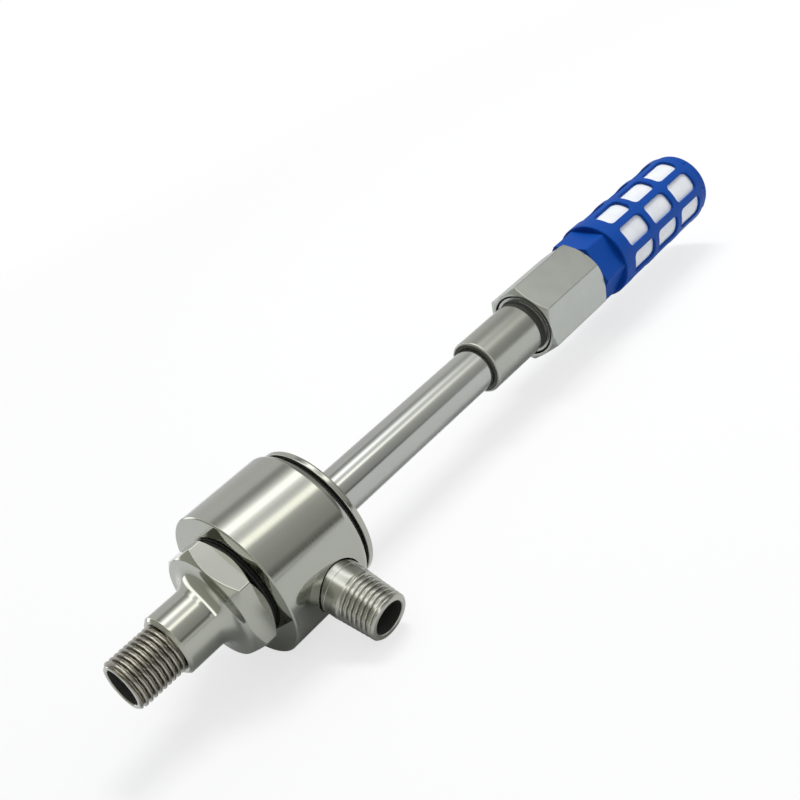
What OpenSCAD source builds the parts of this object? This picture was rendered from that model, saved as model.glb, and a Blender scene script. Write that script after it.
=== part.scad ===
// Vortex tube: compressed air enters at the side nipple, spins in the body and leaves as
// cold air at the threaded end (x = 0) and as hot air through the silencer at the far end.
// The tube's axis is X. The part lies on its body and on the tip of the inlet nipple.

/* [Cold end cap] */
// Outside diameter of the cold outlet's pipe thread
cold_thread_d = 13.16; // [12:0.02:14]
// Length of the cold outlet's pipe thread
cold_thread_len = 13.1; // [9:0.1:18]
// Distance from one thread crest to the next
thread_pitch = 1.337; // [1:0.001:1.5]
// Depth of the threads
thread_depth = 0.75; // [0.4:0.01:0.9]
// Bore of the cold outlet
cold_bore_d = 9.8; // [8:0.1:10]
// Length of the cold outlet's straight bore
cold_bore_len = 26; // [15:0.5:32]
// Diameter at the narrow end of the cone behind that bore
cold_throat_d = 7; // [6:0.1:8]
// Diameter of the neck behind the thread
neck_d = 16; // [15:0.1:18]
// Length of the neck
neck_len = 9.4; // [4:0.1:20]
// Radius of the fillet between neck and hexagon
flare_r = 4.2; // [1:0.1:5]
// Width across the flats of the cap's hexagon
cap_hex_af = 28; // [27:0.5:32]
// Length of the cap's hexagon
cap_hex_len = 6.8; // [4:0.1:12]
// How far the hexagon's corners are turned back along the axis
cap_hex_chamfer = 1.9; // [0.5:0.1:2]
// Diameter of the threaded spigot that screws into the body
cap_spigot_d = 25; // [22:0.5:26]
// Length of that spigot, from the body's front face
cap_spigot_len = 8.4; // [5:0.1:9]
// Thickness of the sealing ring under the hexagon
cap_seal_t = 0.8; // [0.4:0.1:2]
// Width of that ring round the spigot
cap_seal_w = 1; // [0.5:0.1:1]

/* [Body] */
// Diameter of the body
body_d = 40; // [36:0.5:48]
// Length of the body
body_len = 25.3; // [23:0.1:30]
// Chamfer on the body's front edge
body_front_break = 0.3; // [0.2:0.1:1.5]
// Rounding of the body's rear edge
body_rear_round = 1.7; // [0.5:0.1:2.5]
// Diameter of the ring chamber round the swirl generator
plenum_d = 24; // [22:0.5:25]
// Length of that chamber behind the cap's spigot
plenum_len = 10.1; // [9.5:0.1:11]
// Thickness of the wall behind the chamber
web_t = 2.2; // [1.5:0.1:3]

/* [Inlet nipple] */
// Distance from the body's front face to the nipple's axis
inlet_x = 14.7; // [13:0.1:16]
// Distance from the tube's axis to the nipple's mouth
inlet_reach = 35; // [31:0.5:42]
// Diameter of the nipple at its plain base
inlet_d = 13.16; // [12:0.02:14]
// Diameter over the last thread, next to the mouth
inlet_tip_d = 11.9; // [11.5:0.1:13]
// Diameter of the mouth's outer edge
inlet_mouth_d = 11.5; // [10.5:0.1:12]
// Bore of the inlet
inlet_bore_d = 8.7; // [7.5:0.1:9]
// Length of the inlet's straight bore, from the mouth
inlet_bore_len = 14.5; // [10:0.5:18]
// Diameter of the throat behind that bore
inlet_throat_d = 7; // [5:0.1:7.5]
// Diameter of the nipple's spigot inside the body
inlet_spigot_d = 11; // [10:0.1:12]
// Width of the dark gap round the nipple's base
inlet_gap = 0.45; // [0.2:0.05:1]
// Depth of that gap below the top of the body's barrel
inlet_seat_depth = 3.4; // [2:0.1:4]
// Number of thread ridges on the nipple
inlet_ridges = 8; // [4:1:9]

/* [Swirl generator] */
// Outside diameter of the generator and of the orifice plate
generator_d = 19; // [17:0.5:20]
// Number of tangential nozzles
nozzle_count = 6; // [3:1:8]
// Width of each nozzle
nozzle_w = 1.1; // [0.6:0.1:1.6]
// Depth of each nozzle
nozzle_depth = 2.6; // [1:0.1:3.5]
// Diameter of the orifice in the plate
orifice_d = 5; // [3:0.1:6]
// Thickness of the orifice plate
orifice_plate_t = 2.4; // [1.5:0.1:3]
// Thickness of the ring that seals the orifice plate
orifice_seal_t = 1; // [0.6:0.1:1.5]

/* [Hot tube] */
// Outside diameter of the hot tube
tube_d = 12.7; // [12:0.1:14]
// Wall of the hot tube
tube_wall = 1.2; // [1:0.1:2]
// Length of the hot tube that shows between gland and sleeve
tube_show_len = 65.6; // [40:0.1:120]
// Length of the tube's end inside the sleeve
tube_in_sleeve = 22; // [15:0.5:23]
// Diameter of the gland's lip behind the body
gland_d = 37.4; // [32:0.2:38]
// Length of the gland's lip
gland_len = 1.7; // [1.2:0.1:6]
// Rounding of the lip's rear edge
gland_round = 0.5; // [0.3:0.1:1]
// Diameter of the gland's threaded boss
gland_boss_d = 19; // [18:0.5:22]
// Width of the groove between body and lip
gland_groove = 1.1; // [0.5:0.1:2.5]
// Number of vanes in the flow straightener
vane_count = 4; // [3:1:6]
// Thickness of the straightener's vanes
vane_t = 0.8; // [0.5:0.1:1.5]
// Length of the flow straightener
straightener_len = 9; // [5:0.5:12]

/* [Hot end sleeve] */
// Outside diameter of the sleeve
sleeve_d = 16.3; // [15.5:0.1:17]
// Length of the sleeve
sleeve_len = 34; // [32:0.5:40]
// Chamfer on the sleeve's front edge
sleeve_chamfer = 0.4; // [0.1:0.1:1]

/* [Hot end valve] */
// Width across the flats of the valve's hexagon
valve_hex_af = 21; // [20.8:0.1:26]
// Length of the valve's hexagon
valve_len = 27.6; // [25:0.1:32]
// Length of sleeve that shows in front of the valve
sleeve_show_len = 22.6; // [22:0.1:26]
// How far the valve's corners are turned back along the axis
valve_chamfer = 1; // [0.5:0.1:2]
// Diameter of the recess in the valve's mouth
valve_recess_d = 19.6; // [18.5:0.1:20]
// Depth of that recess
valve_recess_depth = 1.3; // [0.5:0.1:2]
// Movement of the valve for one turn
valve_pitch = 1; // [0.5:0.25:1.5]
// Turns from rest until the valve is shut
valve_turns_in = 1; // [0:0.25:1]
// Turns from rest until the valve is fully open
valve_turns_out = 2; // [0:0.25:2]
// Largest diameter of the valve's cone
cone_d = 12; // [11:0.1:12.5]
// Diameter of the cone's stem
stem_d = 4; // [3:0.1:5]
// Number of arms on the spider that carries the cone
spider_arms = 3; // [3:1:5]
// Thickness of the spider
spider_t = 2; // [1.5:0.1:3]

/* [Silencer] */
// Diameter of the silencer at its base
muffler_d = 24.2; // [23:0.1:26]
// Diameter of the silencer at its far end
muffler_end_d = 23.6; // [22:0.1:25]
// Length of the silencer outside the valve
muffler_len = 60.3; // [54:0.1:70]
// Wall of the silencer's cage
muffler_wall = 1.3; // [1:0.1:2.5]
// Width across the flats of the silencer's wrench base
muffler_hex_af = 19; // [18:0.1:22]
// Length of the wrench base
muffler_hex_len = 9.8; // [6:0.1:12]
// Rows of windows along the silencer
window_rows = 3; // [1:1:3]
// Windows round the silencer
window_columns = 8; // [4:1:8]
// Distance from one row of windows to the next
window_pitch = 14; // [12:0.1:15]
// Length of each window along the tube
window_len = 11.4; // [5:0.1:12]
// Width of each window round the tube
window_w = 6.8; // [3:0.1:7]
// Corner radius of each window
window_corner_r = 1.2; // [0.5:0.1:2]
// Wall of the felt tube inside the cage
felt_t = 3; // [1.5:0.1:4]
// Rounding of the silencer's far edge
muffler_round = 0.8; // [0.3:0.1:2]

/* [Hidden] */

// Facets of the turned shapes
$fn = 96;
// Overrun of every cut past the face it opens
over = 0.5;
// Radial gap between screwed or pressed pieces of one assembly
thread_gap = 0.05;
// Radial gap of the valve's running thread
running_gap = 0.08;
// Gap between flat faces that don't bear on each other
face_gap = 0.2;

// Crest, flank and valley of a thread ridge, as shares of its pitch
crest_share = 0.28;
flank_share = 0.29;
// Chamfer at the mouth of each thread
tip_chamfer = 0.6;
// Chamfer at the front of the cap's neck
neck_chamfer = 0.7;
// Points on each rounded edge
round_steps = 6;

// Places along the tube
neck_x = cold_thread_len;
flare_x = neck_x + neck_len;
hex_x = flare_x + flare_r;
hex_end_x = hex_x + cap_hex_len;
body_x = hex_end_x + cap_seal_t;
body_end_x = body_x + body_len;
spigot_end_x = body_x + cap_spigot_len;
plate_x = spigot_end_x + orifice_seal_t;
generator_x = plate_x + orifice_plate_t;
web_x = spigot_end_x + plenum_len;
web_end_x = web_x + web_t;
gland_x = body_end_x + gland_groove;
gland_end_x = gland_x + gland_len;
sleeve_x = gland_end_x + tube_show_len;
sleeve_end_x = sleeve_x + sleeve_len;
tube_end_x = sleeve_x + tube_in_sleeve;
valve_x = sleeve_x + sleeve_show_len;
valve_end_x = valve_x + valve_len;
muffler_x = valve_end_x;
muffler_end_x = muffler_x + muffler_len;
inlet_axis_x = body_x + inlet_x;
// Distance from the tube's axis at which the inlet's hole meets the ring chamber
inlet_wall_x = sqrt(plenum_d * plenum_d - inlet_spigot_d * inlet_spigot_d) / 2;

// Bore of the hot tube
tube_bore_d = tube_d - 2 * tube_wall;
// Length of the hot tube that stands out of the wall into the generator
tube_register = 1.2;
tube_x = web_x - tube_register;
// Diameter and thickness of the ring under the gland's boss
tube_seal_t = 1.6;
gland_boss_x = web_end_x + tube_seal_t;

// The nipple hangs so far below the horizontal that its tip and the body rest on one plane
nipple_sag = asin(body_d / sqrt(4 * inlet_reach * inlet_reach + inlet_mouth_d * inlet_mouth_d))
    - atan2(inlet_mouth_d / 2, inlet_reach);
// Angles round the tube, from +Y towards +Z
nipple_angle = 180 + nipple_sag;
// Angle of the hexagons' first corners from the nipple
cap_hex_angle = nipple_angle + 11;
valve_hex_angle = nipple_angle + 12;
muffler_hex_angle = nipple_angle - 16;
window_angle = nipple_angle - 4;

// Valve: how far it moves each way, and what its cone and seat need
travel_in = valve_pitch * valve_turns_in;
travel_out = valve_pitch * valve_turns_out;
// Half angle of the cone and of its seat
cone_angle = 35;
// Gap that the shut cone keeps from its seat
shut_gap = 0.2;
// Depth of the seat's chamfer, measured along the radius
seat_chamfer = 0.8;
seat_r = tube_bore_d / 2 + seat_chamfer;
cone_base_x = sleeve_end_x + travel_in + shut_gap / cos(cone_angle)
    - (seat_r - cone_d / 2) / tan(cone_angle);
cone_tip_r = stem_d / 4;
cone_tip_x = cone_base_x - (cone_d / 2 - cone_tip_r) / tan(cone_angle);
// Shoulder inside the valve that carries the spider
shoulder_x = sleeve_end_x + travel_in + 2 * shut_gap + valve_pitch;
shoulder_t = 2;
spider_x = shoulder_x + shoulder_t;
spider_end_x = spider_x + spider_t;
nut_t = 2.4;
nut_af = 7;
nut_end_x = spider_end_x + nut_t;
stem_end_x = nut_end_x + nut_t / 2;
// Groove and ring that seal the valve on the sleeve
ring_section_d = 1.3;
ring_clearance = 0.15;
ring_x = valve_x + valve_recess_depth + ring_section_d * 1.7;
ring_r = sleeve_d / 2 + ring_clearance + ring_section_d / 2;
// Thread of the silencer inside the valve
muffler_spigot_d = 16.6;
muffler_spigot_bore_d = 11;
muffler_spigot_x = spider_end_x + face_gap;

// Silencer: its inside, end cap and the slots that the end cap snaps into
cage_in_r = muffler_end_d / 2 - muffler_wall;
cage_floor_t = 2;
cage_band_x = muffler_x + muffler_hex_len;
cage_floor_x = cage_band_x + cage_floor_t;
felt_gap = 0.15;
cap_plate_t = 2.9;
cap_plate_x = muffler_end_x - cap_plate_t;
first_window_x = cage_floor_x
    + (cap_plate_x - cage_floor_x - (window_rows - 1) * window_pitch) / 2;
slot_count = 4;
slot_w = 7.5;
slot_len = 1.5;
slot_back = 2.4;
slot_x = muffler_end_x - slot_back;
lug_drop = 0.5;

// Points of a rounded edge in the plane of radius and length, from angle a0 to angle a1
function arc_points(r_mid, x_mid, r, a0, a1) = [
    for (i = [0 : round_steps])
        let (a = a0 + (a1 - a0) * i / round_steps)
            [r_mid + r * cos(a), x_mid + r * sin(a)]
];

// Outline of a row of thread ridges that starts at x0, with crests that go from r0 to r1
function ridge_points(x0, r0, r1, count) = [
    for (i = [0 : count - 1])
        let (x = x0 + i * thread_pitch,
             crest_r = r0 + (r1 - r0) * (count > 1 ? i / (count - 1) : 0))
            each [
                [crest_r - thread_depth, x],
                [crest_r, x + flank_share * thread_pitch],
                [crest_r, x + (flank_share + crest_share) * thread_pitch],
                [crest_r - thread_depth, x + (2 * flank_share + crest_share) * thread_pitch]
            ]
];

// Turned solid about the tube's axis from points of radius and length along X
module turned(points) {
    rotate([0, 90, 0]) rotate_extrude() polygon(points);
}

// Round rod, or bore, along X
module rod(d, x0, x1) {
    translate([x0, 0, 0]) rotate([0, 90, 0]) cylinder(d = d, h = x1 - x0);
}

// Turned ring of plain section
module ring(d_out, d_in, x0, x1) {
    turned([[d_in / 2, x0], [d_out / 2, x0], [d_out / 2, x1], [d_in / 2, x1]]);
}

// Hexagonal bar along X, with one corner at the given angle
module hex_bar(af, x0, x1, angle) {
    translate([x0, 0, 0]) rotate([angle, 0, 0]) rotate([0, 90, 0]) rotate([0, 0, 90])
        cylinder(d = af / cos(30), h = x1 - x0, $fn = 6);
}

// Places children along the nipple's axis, with +X of the children pointing out of the mouth
module along_nipple() {
    translate([inlet_axis_x, 0, 0]) rotate([nipple_angle, 0, 0]) rotate([0, 0, 90]) children();
}

module cold_end_cap() {
    thread_r = cold_thread_d / 2;
    count = floor((cold_thread_len - tip_chamfer) / thread_pitch);
    hex_r = cap_hex_af / 2 / cos(30);
    color("#a3a59b") difference() {
        union() {
            turned(concat(
                [[0, 0], [thread_r - thread_depth, 0]],
                ridge_points(tip_chamfer, thread_r, thread_r, count),
                [[thread_r - thread_depth, neck_x],
                 [neck_d / 2 - neck_chamfer, neck_x],
                 [neck_d / 2, neck_x + neck_chamfer]],
                arc_points(neck_d / 2 + flare_r, flare_x, flare_r, 180, 90),
                [[neck_d / 2 + flare_r, hex_x + cap_hex_chamfer],
                 [0, hex_x + cap_hex_chamfer]]));
            intersection() {
                hex_bar(cap_hex_af, hex_x, hex_end_x, cap_hex_angle);
                turned([[0, hex_x], [cap_hex_af / 2, hex_x], [hex_r, hex_x + cap_hex_chamfer],
                        [hex_r, hex_end_x - cap_hex_chamfer], [cap_hex_af / 2, hex_end_x],
                        [0, hex_end_x]]);
            }
            rod(cap_spigot_d - 2 * thread_gap, hex_end_x - over, spigot_end_x);
        }
        turned([[0, -over], [cold_bore_d / 2, -over], [cold_bore_d / 2, cold_bore_len],
                [cold_throat_d / 2, spigot_end_x], [cold_throat_d / 2, spigot_end_x + over],
                [0, spigot_end_x + over]]);
    }
}

module cap_seal() {
    color("#1c1c1c") ring(cap_spigot_d + 2 * cap_seal_w, cap_spigot_d, hex_end_x, body_x);
}

module vortex_body() {
    r = body_d / 2;
    color("#a8aaa0") difference() {
        turned(concat(
            [[0, body_x], [r - body_front_break, body_x], [r, body_x + body_front_break]],
            arc_points(r - body_rear_round, body_end_x - body_rear_round, body_rear_round, 0, 90),
            [[0, body_end_x]]));
        rod(cap_spigot_d, body_x - over, spigot_end_x);
        rod(plenum_d, body_x - over, web_x);
        rod(tube_d + 2 * thread_gap, body_x, body_end_x);
        rod(gland_boss_d, web_end_x, body_end_x + over);
        along_nipple() {
            rod(inlet_spigot_d, inlet_wall_x - over, body_d);
            rod(inlet_d + 2 * inlet_gap, r - inlet_seat_depth, body_d);
        }
    }
}

module inlet_nipple() {
    base_r = inlet_d / 2;
    ridges_x = inlet_reach - tip_chamfer - inlet_ridges * thread_pitch;
    seat_x = body_d / 2 - inlet_seat_depth + cap_seal_t / 2;
    color("#a3a59b") along_nipple() difference() {
        turned(concat(
            [[0, inlet_wall_x + face_gap],
             [inlet_spigot_d / 2 - thread_gap, inlet_wall_x + face_gap],
             [inlet_spigot_d / 2 - thread_gap, seat_x], [base_r, seat_x], [base_r, ridges_x]],
            ridge_points(ridges_x + thread_pitch / 8, base_r, inlet_tip_d / 2, inlet_ridges),
            [[inlet_mouth_d / 2, inlet_reach], [0, inlet_reach]]));
        rod(inlet_bore_d, inlet_reach - inlet_bore_len, inlet_reach + over);
        rod(inlet_throat_d, inlet_wall_x, inlet_reach);
    }
}

module inlet_seal() {
    seat_x = body_d / 2 - inlet_seat_depth;
    color("#1c1c1c") along_nipple()
        ring(inlet_d + inlet_gap, inlet_spigot_d, seat_x, seat_x + cap_seal_t / 2);
}

module orifice_seal() {
    color("#1c1c1c")
        ring(generator_d - orifice_seal_t, cold_throat_d + 2 * orifice_seal_t, spigot_end_x, plate_x);
}

// Plate between the spinning air and the cold outlet, opening in a cone towards the outlet
module cold_orifice_plate() {
    land = orifice_plate_t / 4;
    color("#c9a860") turned([
        [orifice_d / 2, generator_x], [generator_d / 2, generator_x], [generator_d / 2, plate_x],
        [cold_throat_d / 2, plate_x], [orifice_d / 2, generator_x - land]]);
}

// Ring whose tangential nozzles blow the air round inside it
module swirl_generator() {
    chamber_r = tube_bore_d / 2;
    color("#c9a860") difference() {
        rod(generator_d, generator_x, web_x);
        rod(tube_bore_d, generator_x - over, web_x + over);
        rod(tube_d + 2 * thread_gap, tube_x, web_x + over);
        for (i = [0 : nozzle_count - 1])
            rotate([i * 360 / nozzle_count, 0, 0])
                translate([generator_x - over, 0, chamber_r - nozzle_w])
                    cube([nozzle_depth + over, generator_d, nozzle_w]);
    }
}

module tube_seal() {
    color("#1c1c1c") ring(gland_boss_d - thread_gap, tube_d, web_end_x, gland_boss_x);
}

module tube_gland() {
    r = gland_d / 2;
    bore_r = tube_d / 2 + thread_gap;
    color("#a8aaa0") turned(concat(
        [[bore_r, gland_boss_x], [gland_boss_d / 2 - thread_gap, gland_boss_x],
         [gland_boss_d / 2 - thread_gap, gland_x], [r, gland_x]],
        arc_points(r - gland_round, gland_end_x - gland_round, gland_round, 0, 90),
        [[bore_r, gland_end_x]]));
}

module gland_seal() {
    color("#1c1c1c")
        ring(gland_d - 2 * gland_groove, gland_boss_d + 2 * gland_groove, body_end_x, gland_x);
}

module hot_tube() {
    color("#b4b5ae") ring(tube_d, tube_bore_d, tube_x, tube_end_x);
}

// Crossed vanes that stop the hot air's spin before it reaches the valve
module flow_straightener() {
    x0 = tube_end_x - straightener_len;
    color("#c9a860") intersection() {
        rod(tube_bore_d - 2 * thread_gap, x0, tube_end_x);
        union() {
            for (i = [0 : vane_count - 1])
                rotate([i * 360 / vane_count, 0, 0])
                    translate([x0, -vane_t / 2, 0]) cube([straightener_len, vane_t, tube_d]);
            rod(2 * vane_t, x0, tube_end_x);
        }
    }
}

module hot_end_sleeve() {
    r = sleeve_d / 2;
    bore_r = tube_d / 2 + thread_gap;
    seat_x = sleeve_end_x - seat_chamfer / tan(cone_angle);
    color("#a3a59b") turned([
        [bore_r, sleeve_x], [r - sleeve_chamfer, sleeve_x], [r, sleeve_x + sleeve_chamfer],
        [r, sleeve_end_x], [seat_r, sleeve_end_x], [tube_bore_d / 2, seat_x],
        [tube_bore_d / 2, tube_end_x], [bore_r, tube_end_x]]);
}

module valve_seal_ring() {
    color("#1c1c1c") translate([ring_x, 0, 0]) rotate([0, 90, 0])
        rotate_extrude() translate([ring_r, 0]) circle(d = ring_section_d, $fn = 32);
}

// Hexagonal body that is turned by hand or wrench to set the flow of hot air
module hex_valve_body() {
    hex_r = valve_hex_af / 2 / cos(30);
    groove = ring_section_d / 2 + ring_clearance;
    bore_r = sleeve_d / 2 + running_gap;
    color("#9fa29d") difference() {
        intersection() {
            hex_bar(valve_hex_af, valve_x, valve_end_x, valve_hex_angle);
            turned([[0, valve_x], [valve_hex_af / 2, valve_x], [hex_r, valve_x + valve_chamfer],
                    [hex_r, valve_end_x - valve_chamfer], [valve_hex_af / 2, valve_end_x],
                    [0, valve_end_x]]);
        }
        turned([
            [0, valve_x - over], [valve_recess_d / 2, valve_x - over],
            [valve_recess_d / 2, valve_x + valve_recess_depth],
            [bore_r, valve_x + valve_recess_depth], [bore_r, ring_x - groove],
            [ring_r + groove, ring_x - groove], [ring_r + groove, ring_x + groove],
            [bore_r, ring_x + groove], [bore_r, shoulder_x],
            [muffler_spigot_d / 2 - shoulder_t, shoulder_x],
            [muffler_spigot_d / 2 - shoulder_t, spider_x],
            [muffler_spigot_d / 2, spider_x], [muffler_spigot_d / 2, valve_end_x + over],
            [0, valve_end_x + over]]);
    }
}

// Wheel with open sectors that holds the cone on the axis and lets the hot air through
module valve_spider() {
    rim_r = muffler_spigot_bore_d / 2;
    hub_r = nut_af / 2;
    color("#c9a860") difference() {
        ring(muffler_spigot_d - 2 * thread_gap, stem_d, spider_x, spider_end_x);
        difference() {
            ring(2 * rim_r, 2 * hub_r, spider_x - over, spider_end_x + over);
            for (i = [0 : spider_arms - 1])
                rotate([i * 360 / spider_arms, 0, 0])
                    translate([spider_x - 2 * over, -spider_t / 2, 0])
                        cube([spider_t + 4 * over, spider_t, muffler_spigot_d]);
        }
    }
}

module valve_cone() {
    neck_r = nut_af / 2;
    color("#c9a860") turned([
        [0, cone_tip_x], [cone_tip_r, cone_tip_x], [cone_d / 2, cone_base_x],
        [cone_d / 2, cone_base_x + shut_gap], [neck_r, cone_base_x + shut_gap],
        [neck_r, spider_x], [stem_d / 2 - thread_gap, spider_x],
        [stem_d / 2 - thread_gap, stem_end_x], [0, stem_end_x]]);
}

module cone_lock_nut() {
    color("#c9a860") difference() {
        hex_bar(nut_af, spider_end_x, nut_end_x, valve_hex_angle);
        rod(stem_d, spider_end_x - over, nut_end_x + over);
    }
}

// One window of the cage: a block with round corners that points out along +Z
module window_cutter() {
    half_l = window_len / 2 - window_corner_r;
    half_w = window_w / 2 - window_corner_r;
    for (sx = [-1, 1], sy = [-1, 1])
        translate([sx * half_l, sy * half_w, 0]) cylinder(r = window_corner_r, h = muffler_d, $fn = 32);
    translate([-window_len / 2, -half_w, 0]) cube([window_len, 2 * half_w, muffler_d]);
    translate([-half_l, -window_w / 2, 0]) cube([2 * half_l, window_w, muffler_d]);
}

// Block across one of the slots near the silencer's end, as long and wide as its sizes say
module slot_block(len, w) {
    translate([slot_x - len / 2, -w / 2, 0]) cube([len, w, muffler_d]);
}

// Moulded cage with a wrench base, rows of windows and slots for the end cap's lugs
module muffler_cage() {
    base_r = muffler_d / 2;
    end_r = muffler_end_d / 2;
    color("#1f57b0") difference() {
        turned(concat(
            [[muffler_spigot_bore_d / 2, muffler_spigot_x],
             [muffler_spigot_d / 2 - thread_gap, muffler_spigot_x],
             [muffler_spigot_d / 2 - thread_gap, muffler_x], [base_r, muffler_x],
             [base_r, cage_band_x]],
            arc_points(end_r - muffler_round, muffler_end_x - muffler_round, muffler_round, 0, 90),
            [[cage_in_r, muffler_end_x], [cage_in_r, cage_floor_x],
             [muffler_spigot_bore_d / 2, cage_floor_x]]));
        difference() {
            ring(muffler_d + 2 * over, 0, muffler_x - over, cage_band_x);
            hex_bar(muffler_hex_af, muffler_x - 2 * over, cage_band_x + over, muffler_hex_angle);
        }
        for (row = [0 : window_rows - 1], column = [0 : window_columns - 1])
            translate([first_window_x + row * window_pitch, 0, 0])
                rotate([window_angle - 90 + column * 360 / window_columns, 0, 0]) window_cutter();
        for (i = [0 : slot_count - 1])
            rotate([window_angle - 90 + i * 360 / slot_count, 0, 0]) slot_block(slot_len, slot_w);
    }
}

module muffler_felt() {
    r = cage_in_r - felt_gap;
    color("#e4e6ea") ring(2 * r, 2 * (r - felt_t), cage_floor_x + felt_gap, cap_plate_x - felt_gap);
}

// Cap with lugs that snap into the cage's slots
module muffler_end_cap() {
    color("#1f57b0") difference() {
        union() {
            rod(2 * (cage_in_r - thread_gap), cap_plate_x, muffler_end_x);
            intersection() {
                rod(muffler_end_d - 2 * lug_drop, cap_plate_x, muffler_end_x);
                for (i = [0 : slot_count - 1])
                    rotate([window_angle - 90 + i * 360 / slot_count, 0, 0])
                        slot_block(slot_len - 2 * thread_gap, slot_w - 2 * thread_gap);
            }
        }
        rod(2 * (cage_in_r - muffler_wall), cap_plate_x - over, cap_plate_x + cap_plate_t / 2);
    }
}

cold_end_cap();
cap_seal();
vortex_body();
inlet_nipple();
inlet_seal();
orifice_seal();
cold_orifice_plate();
swirl_generator();
tube_seal();
tube_gland();
gland_seal();
hot_tube();
flow_straightener();
hot_end_sleeve();
valve_seal_ring();
hex_valve_body();
valve_spider();
valve_cone();
cone_lock_nut();
muffler_cage();
muffler_felt();
muffler_end_cap();
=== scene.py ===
# Vortex tube: the finished surfaces of its pieces, and a plain studio round it.
# The tube lies along X from the cold mouth to the silencer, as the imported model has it.
import math

import bmesh
import bpy
from mathutils import Matrix, Vector


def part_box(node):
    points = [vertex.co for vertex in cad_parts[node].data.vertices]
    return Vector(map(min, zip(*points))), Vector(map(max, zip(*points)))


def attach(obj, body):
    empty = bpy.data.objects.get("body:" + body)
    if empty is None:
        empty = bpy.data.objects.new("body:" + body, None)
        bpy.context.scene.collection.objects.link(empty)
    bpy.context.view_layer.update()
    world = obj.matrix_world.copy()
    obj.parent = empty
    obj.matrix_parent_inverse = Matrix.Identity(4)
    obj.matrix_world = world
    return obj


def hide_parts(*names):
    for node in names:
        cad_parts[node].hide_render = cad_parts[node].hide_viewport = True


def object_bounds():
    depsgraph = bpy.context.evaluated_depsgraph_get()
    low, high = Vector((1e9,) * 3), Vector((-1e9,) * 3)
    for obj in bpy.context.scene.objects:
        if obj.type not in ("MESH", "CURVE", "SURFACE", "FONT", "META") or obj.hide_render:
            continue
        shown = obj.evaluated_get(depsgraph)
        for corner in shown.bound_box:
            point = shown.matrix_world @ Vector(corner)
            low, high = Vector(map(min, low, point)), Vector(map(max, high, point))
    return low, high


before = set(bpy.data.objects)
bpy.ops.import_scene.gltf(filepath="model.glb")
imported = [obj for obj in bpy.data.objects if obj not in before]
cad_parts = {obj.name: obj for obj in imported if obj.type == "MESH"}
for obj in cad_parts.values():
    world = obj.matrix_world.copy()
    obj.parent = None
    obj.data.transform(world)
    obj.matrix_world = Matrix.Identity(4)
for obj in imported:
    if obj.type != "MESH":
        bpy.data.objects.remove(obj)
CAD_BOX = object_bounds()

MM = 0.001


def low_mm(node, axis=0):
    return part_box(node)[0][axis] / MM


def high_mm(node, axis=0):
    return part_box(node)[1][axis] / MM


# Places along the tube, in millimetres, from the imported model
CAP_END = high_mm("cold_end_cap")
SEAL_X = low_mm("cap_seal")
BODY_X = low_mm("vortex_body")
BODY_END = high_mm("vortex_body")
GROOVE_END = high_mm("gland_seal")
GLAND_BOSS_X = low_mm("tube_gland")
GLAND_END = high_mm("tube_gland")
TUBE_X = low_mm("hot_tube")
TUBE_END = high_mm("hot_tube")
SLEEVE_X = low_mm("hot_end_sleeve")
SLEEVE_END = high_mm("hot_end_sleeve")
VALVE_X = low_mm("hex_valve_body")
VALVE_END = high_mm("hex_valve_body")
SPIGOT_X = low_mm("muffler_cage")
SILENCER_END = high_mm("muffler_cage")
FELT_X = low_mm("muffler_felt")
FELT_END = high_mm("muffler_felt")
PLATE_X = low_mm("muffler_end_cap")
SPIDER_X = low_mm("valve_spider")
RING_X = (low_mm("valve_seal_ring") + high_mm("valve_seal_ring")) / 2
NIPPLE_X = (low_mm("inlet_nipple") + high_mm("inlet_nipple")) / 2

# Radii, in millimetres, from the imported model
BODY_R = high_mm("vortex_body", 2)
GLAND_R = high_mm("tube_gland", 2)
TUBE_R = high_mm("hot_tube", 2)
SLEEVE_R = high_mm("hot_end_sleeve", 2)
CAP_SEAL_R = high_mm("cap_seal", 2)
GLAND_SEAL_R = high_mm("gland_seal", 2)
SILENCER_R = high_mm("muffler_cage", 2)

# Inlet nipple: its reach from the tube's axis, the radius of its mouth, and its angle round the tube
INLET_REACH = 35.0
INLET_MOUTH_R = 5.75
NIPPLE_SAG = (math.asin(BODY_R / math.hypot(INLET_REACH, INLET_MOUTH_R))
              - math.atan2(INLET_MOUTH_R, INLET_REACH))
NIPPLE_ANGLE = math.pi + NIPPLE_SAG
NIPPLE_TURN = Matrix.Rotation(NIPPLE_ANGLE, 4, "X") @ Matrix.Rotation(math.radians(90), 4, "Z")
NIPPLE_PLACE = Matrix.Translation((NIPPLE_X * MM, 0, 0)) @ NIPPLE_TURN

# Pipe threads: radius over the crests, and the shares of a pitch that the crest and each flank take
THREAD_R = 6.58
THREAD_PITCH = 1.337
THREAD_DEPTH = 0.75
ROOT_R = THREAD_R - THREAD_DEPTH
BELOW_ROOT = 0.2
CREST_SHARE = 0.26
FLANK_SHARE = 0.27
POINTS_A_PITCH = 14

# Edges: their radii from plain to fine, the lip of a bore, and the corners of the hexagon bar
EDGE_R = 0.15
BREAK_EDGE = 0.1
FINE_EDGE = 0.05
MOUTH_EDGE = 0.15
BORE_LIP = 0.2
HEX_CORNER_R = 0.6
# Points round an edge, the straight held beside it, the most of a side that it may take, and the
# angle in degrees from which an edge is sharp
ROUND_STEPS = 4
HOLD = 0.14
CORNER_ROOM = 0.42
SHARP_ABOVE = 33
# Where a hexagon's sections stand at each corner, in shares of its rounding's half angle
CORNER_SPREAD = 1.4
CORNER_SHARES = (-CORNER_SPREAD, -1, -0.5, 0, 0.5, 1, CORNER_SPREAD)
# Places that count as one: in millimetres, and in metres for a mesh's own points
CLOSE = 0.01
CLOSE_ALONG = 0.001
SAME_LEVEL = 1e-6
SAME_POINT = 1e-7
ON_AXIS = 1e-9
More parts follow.
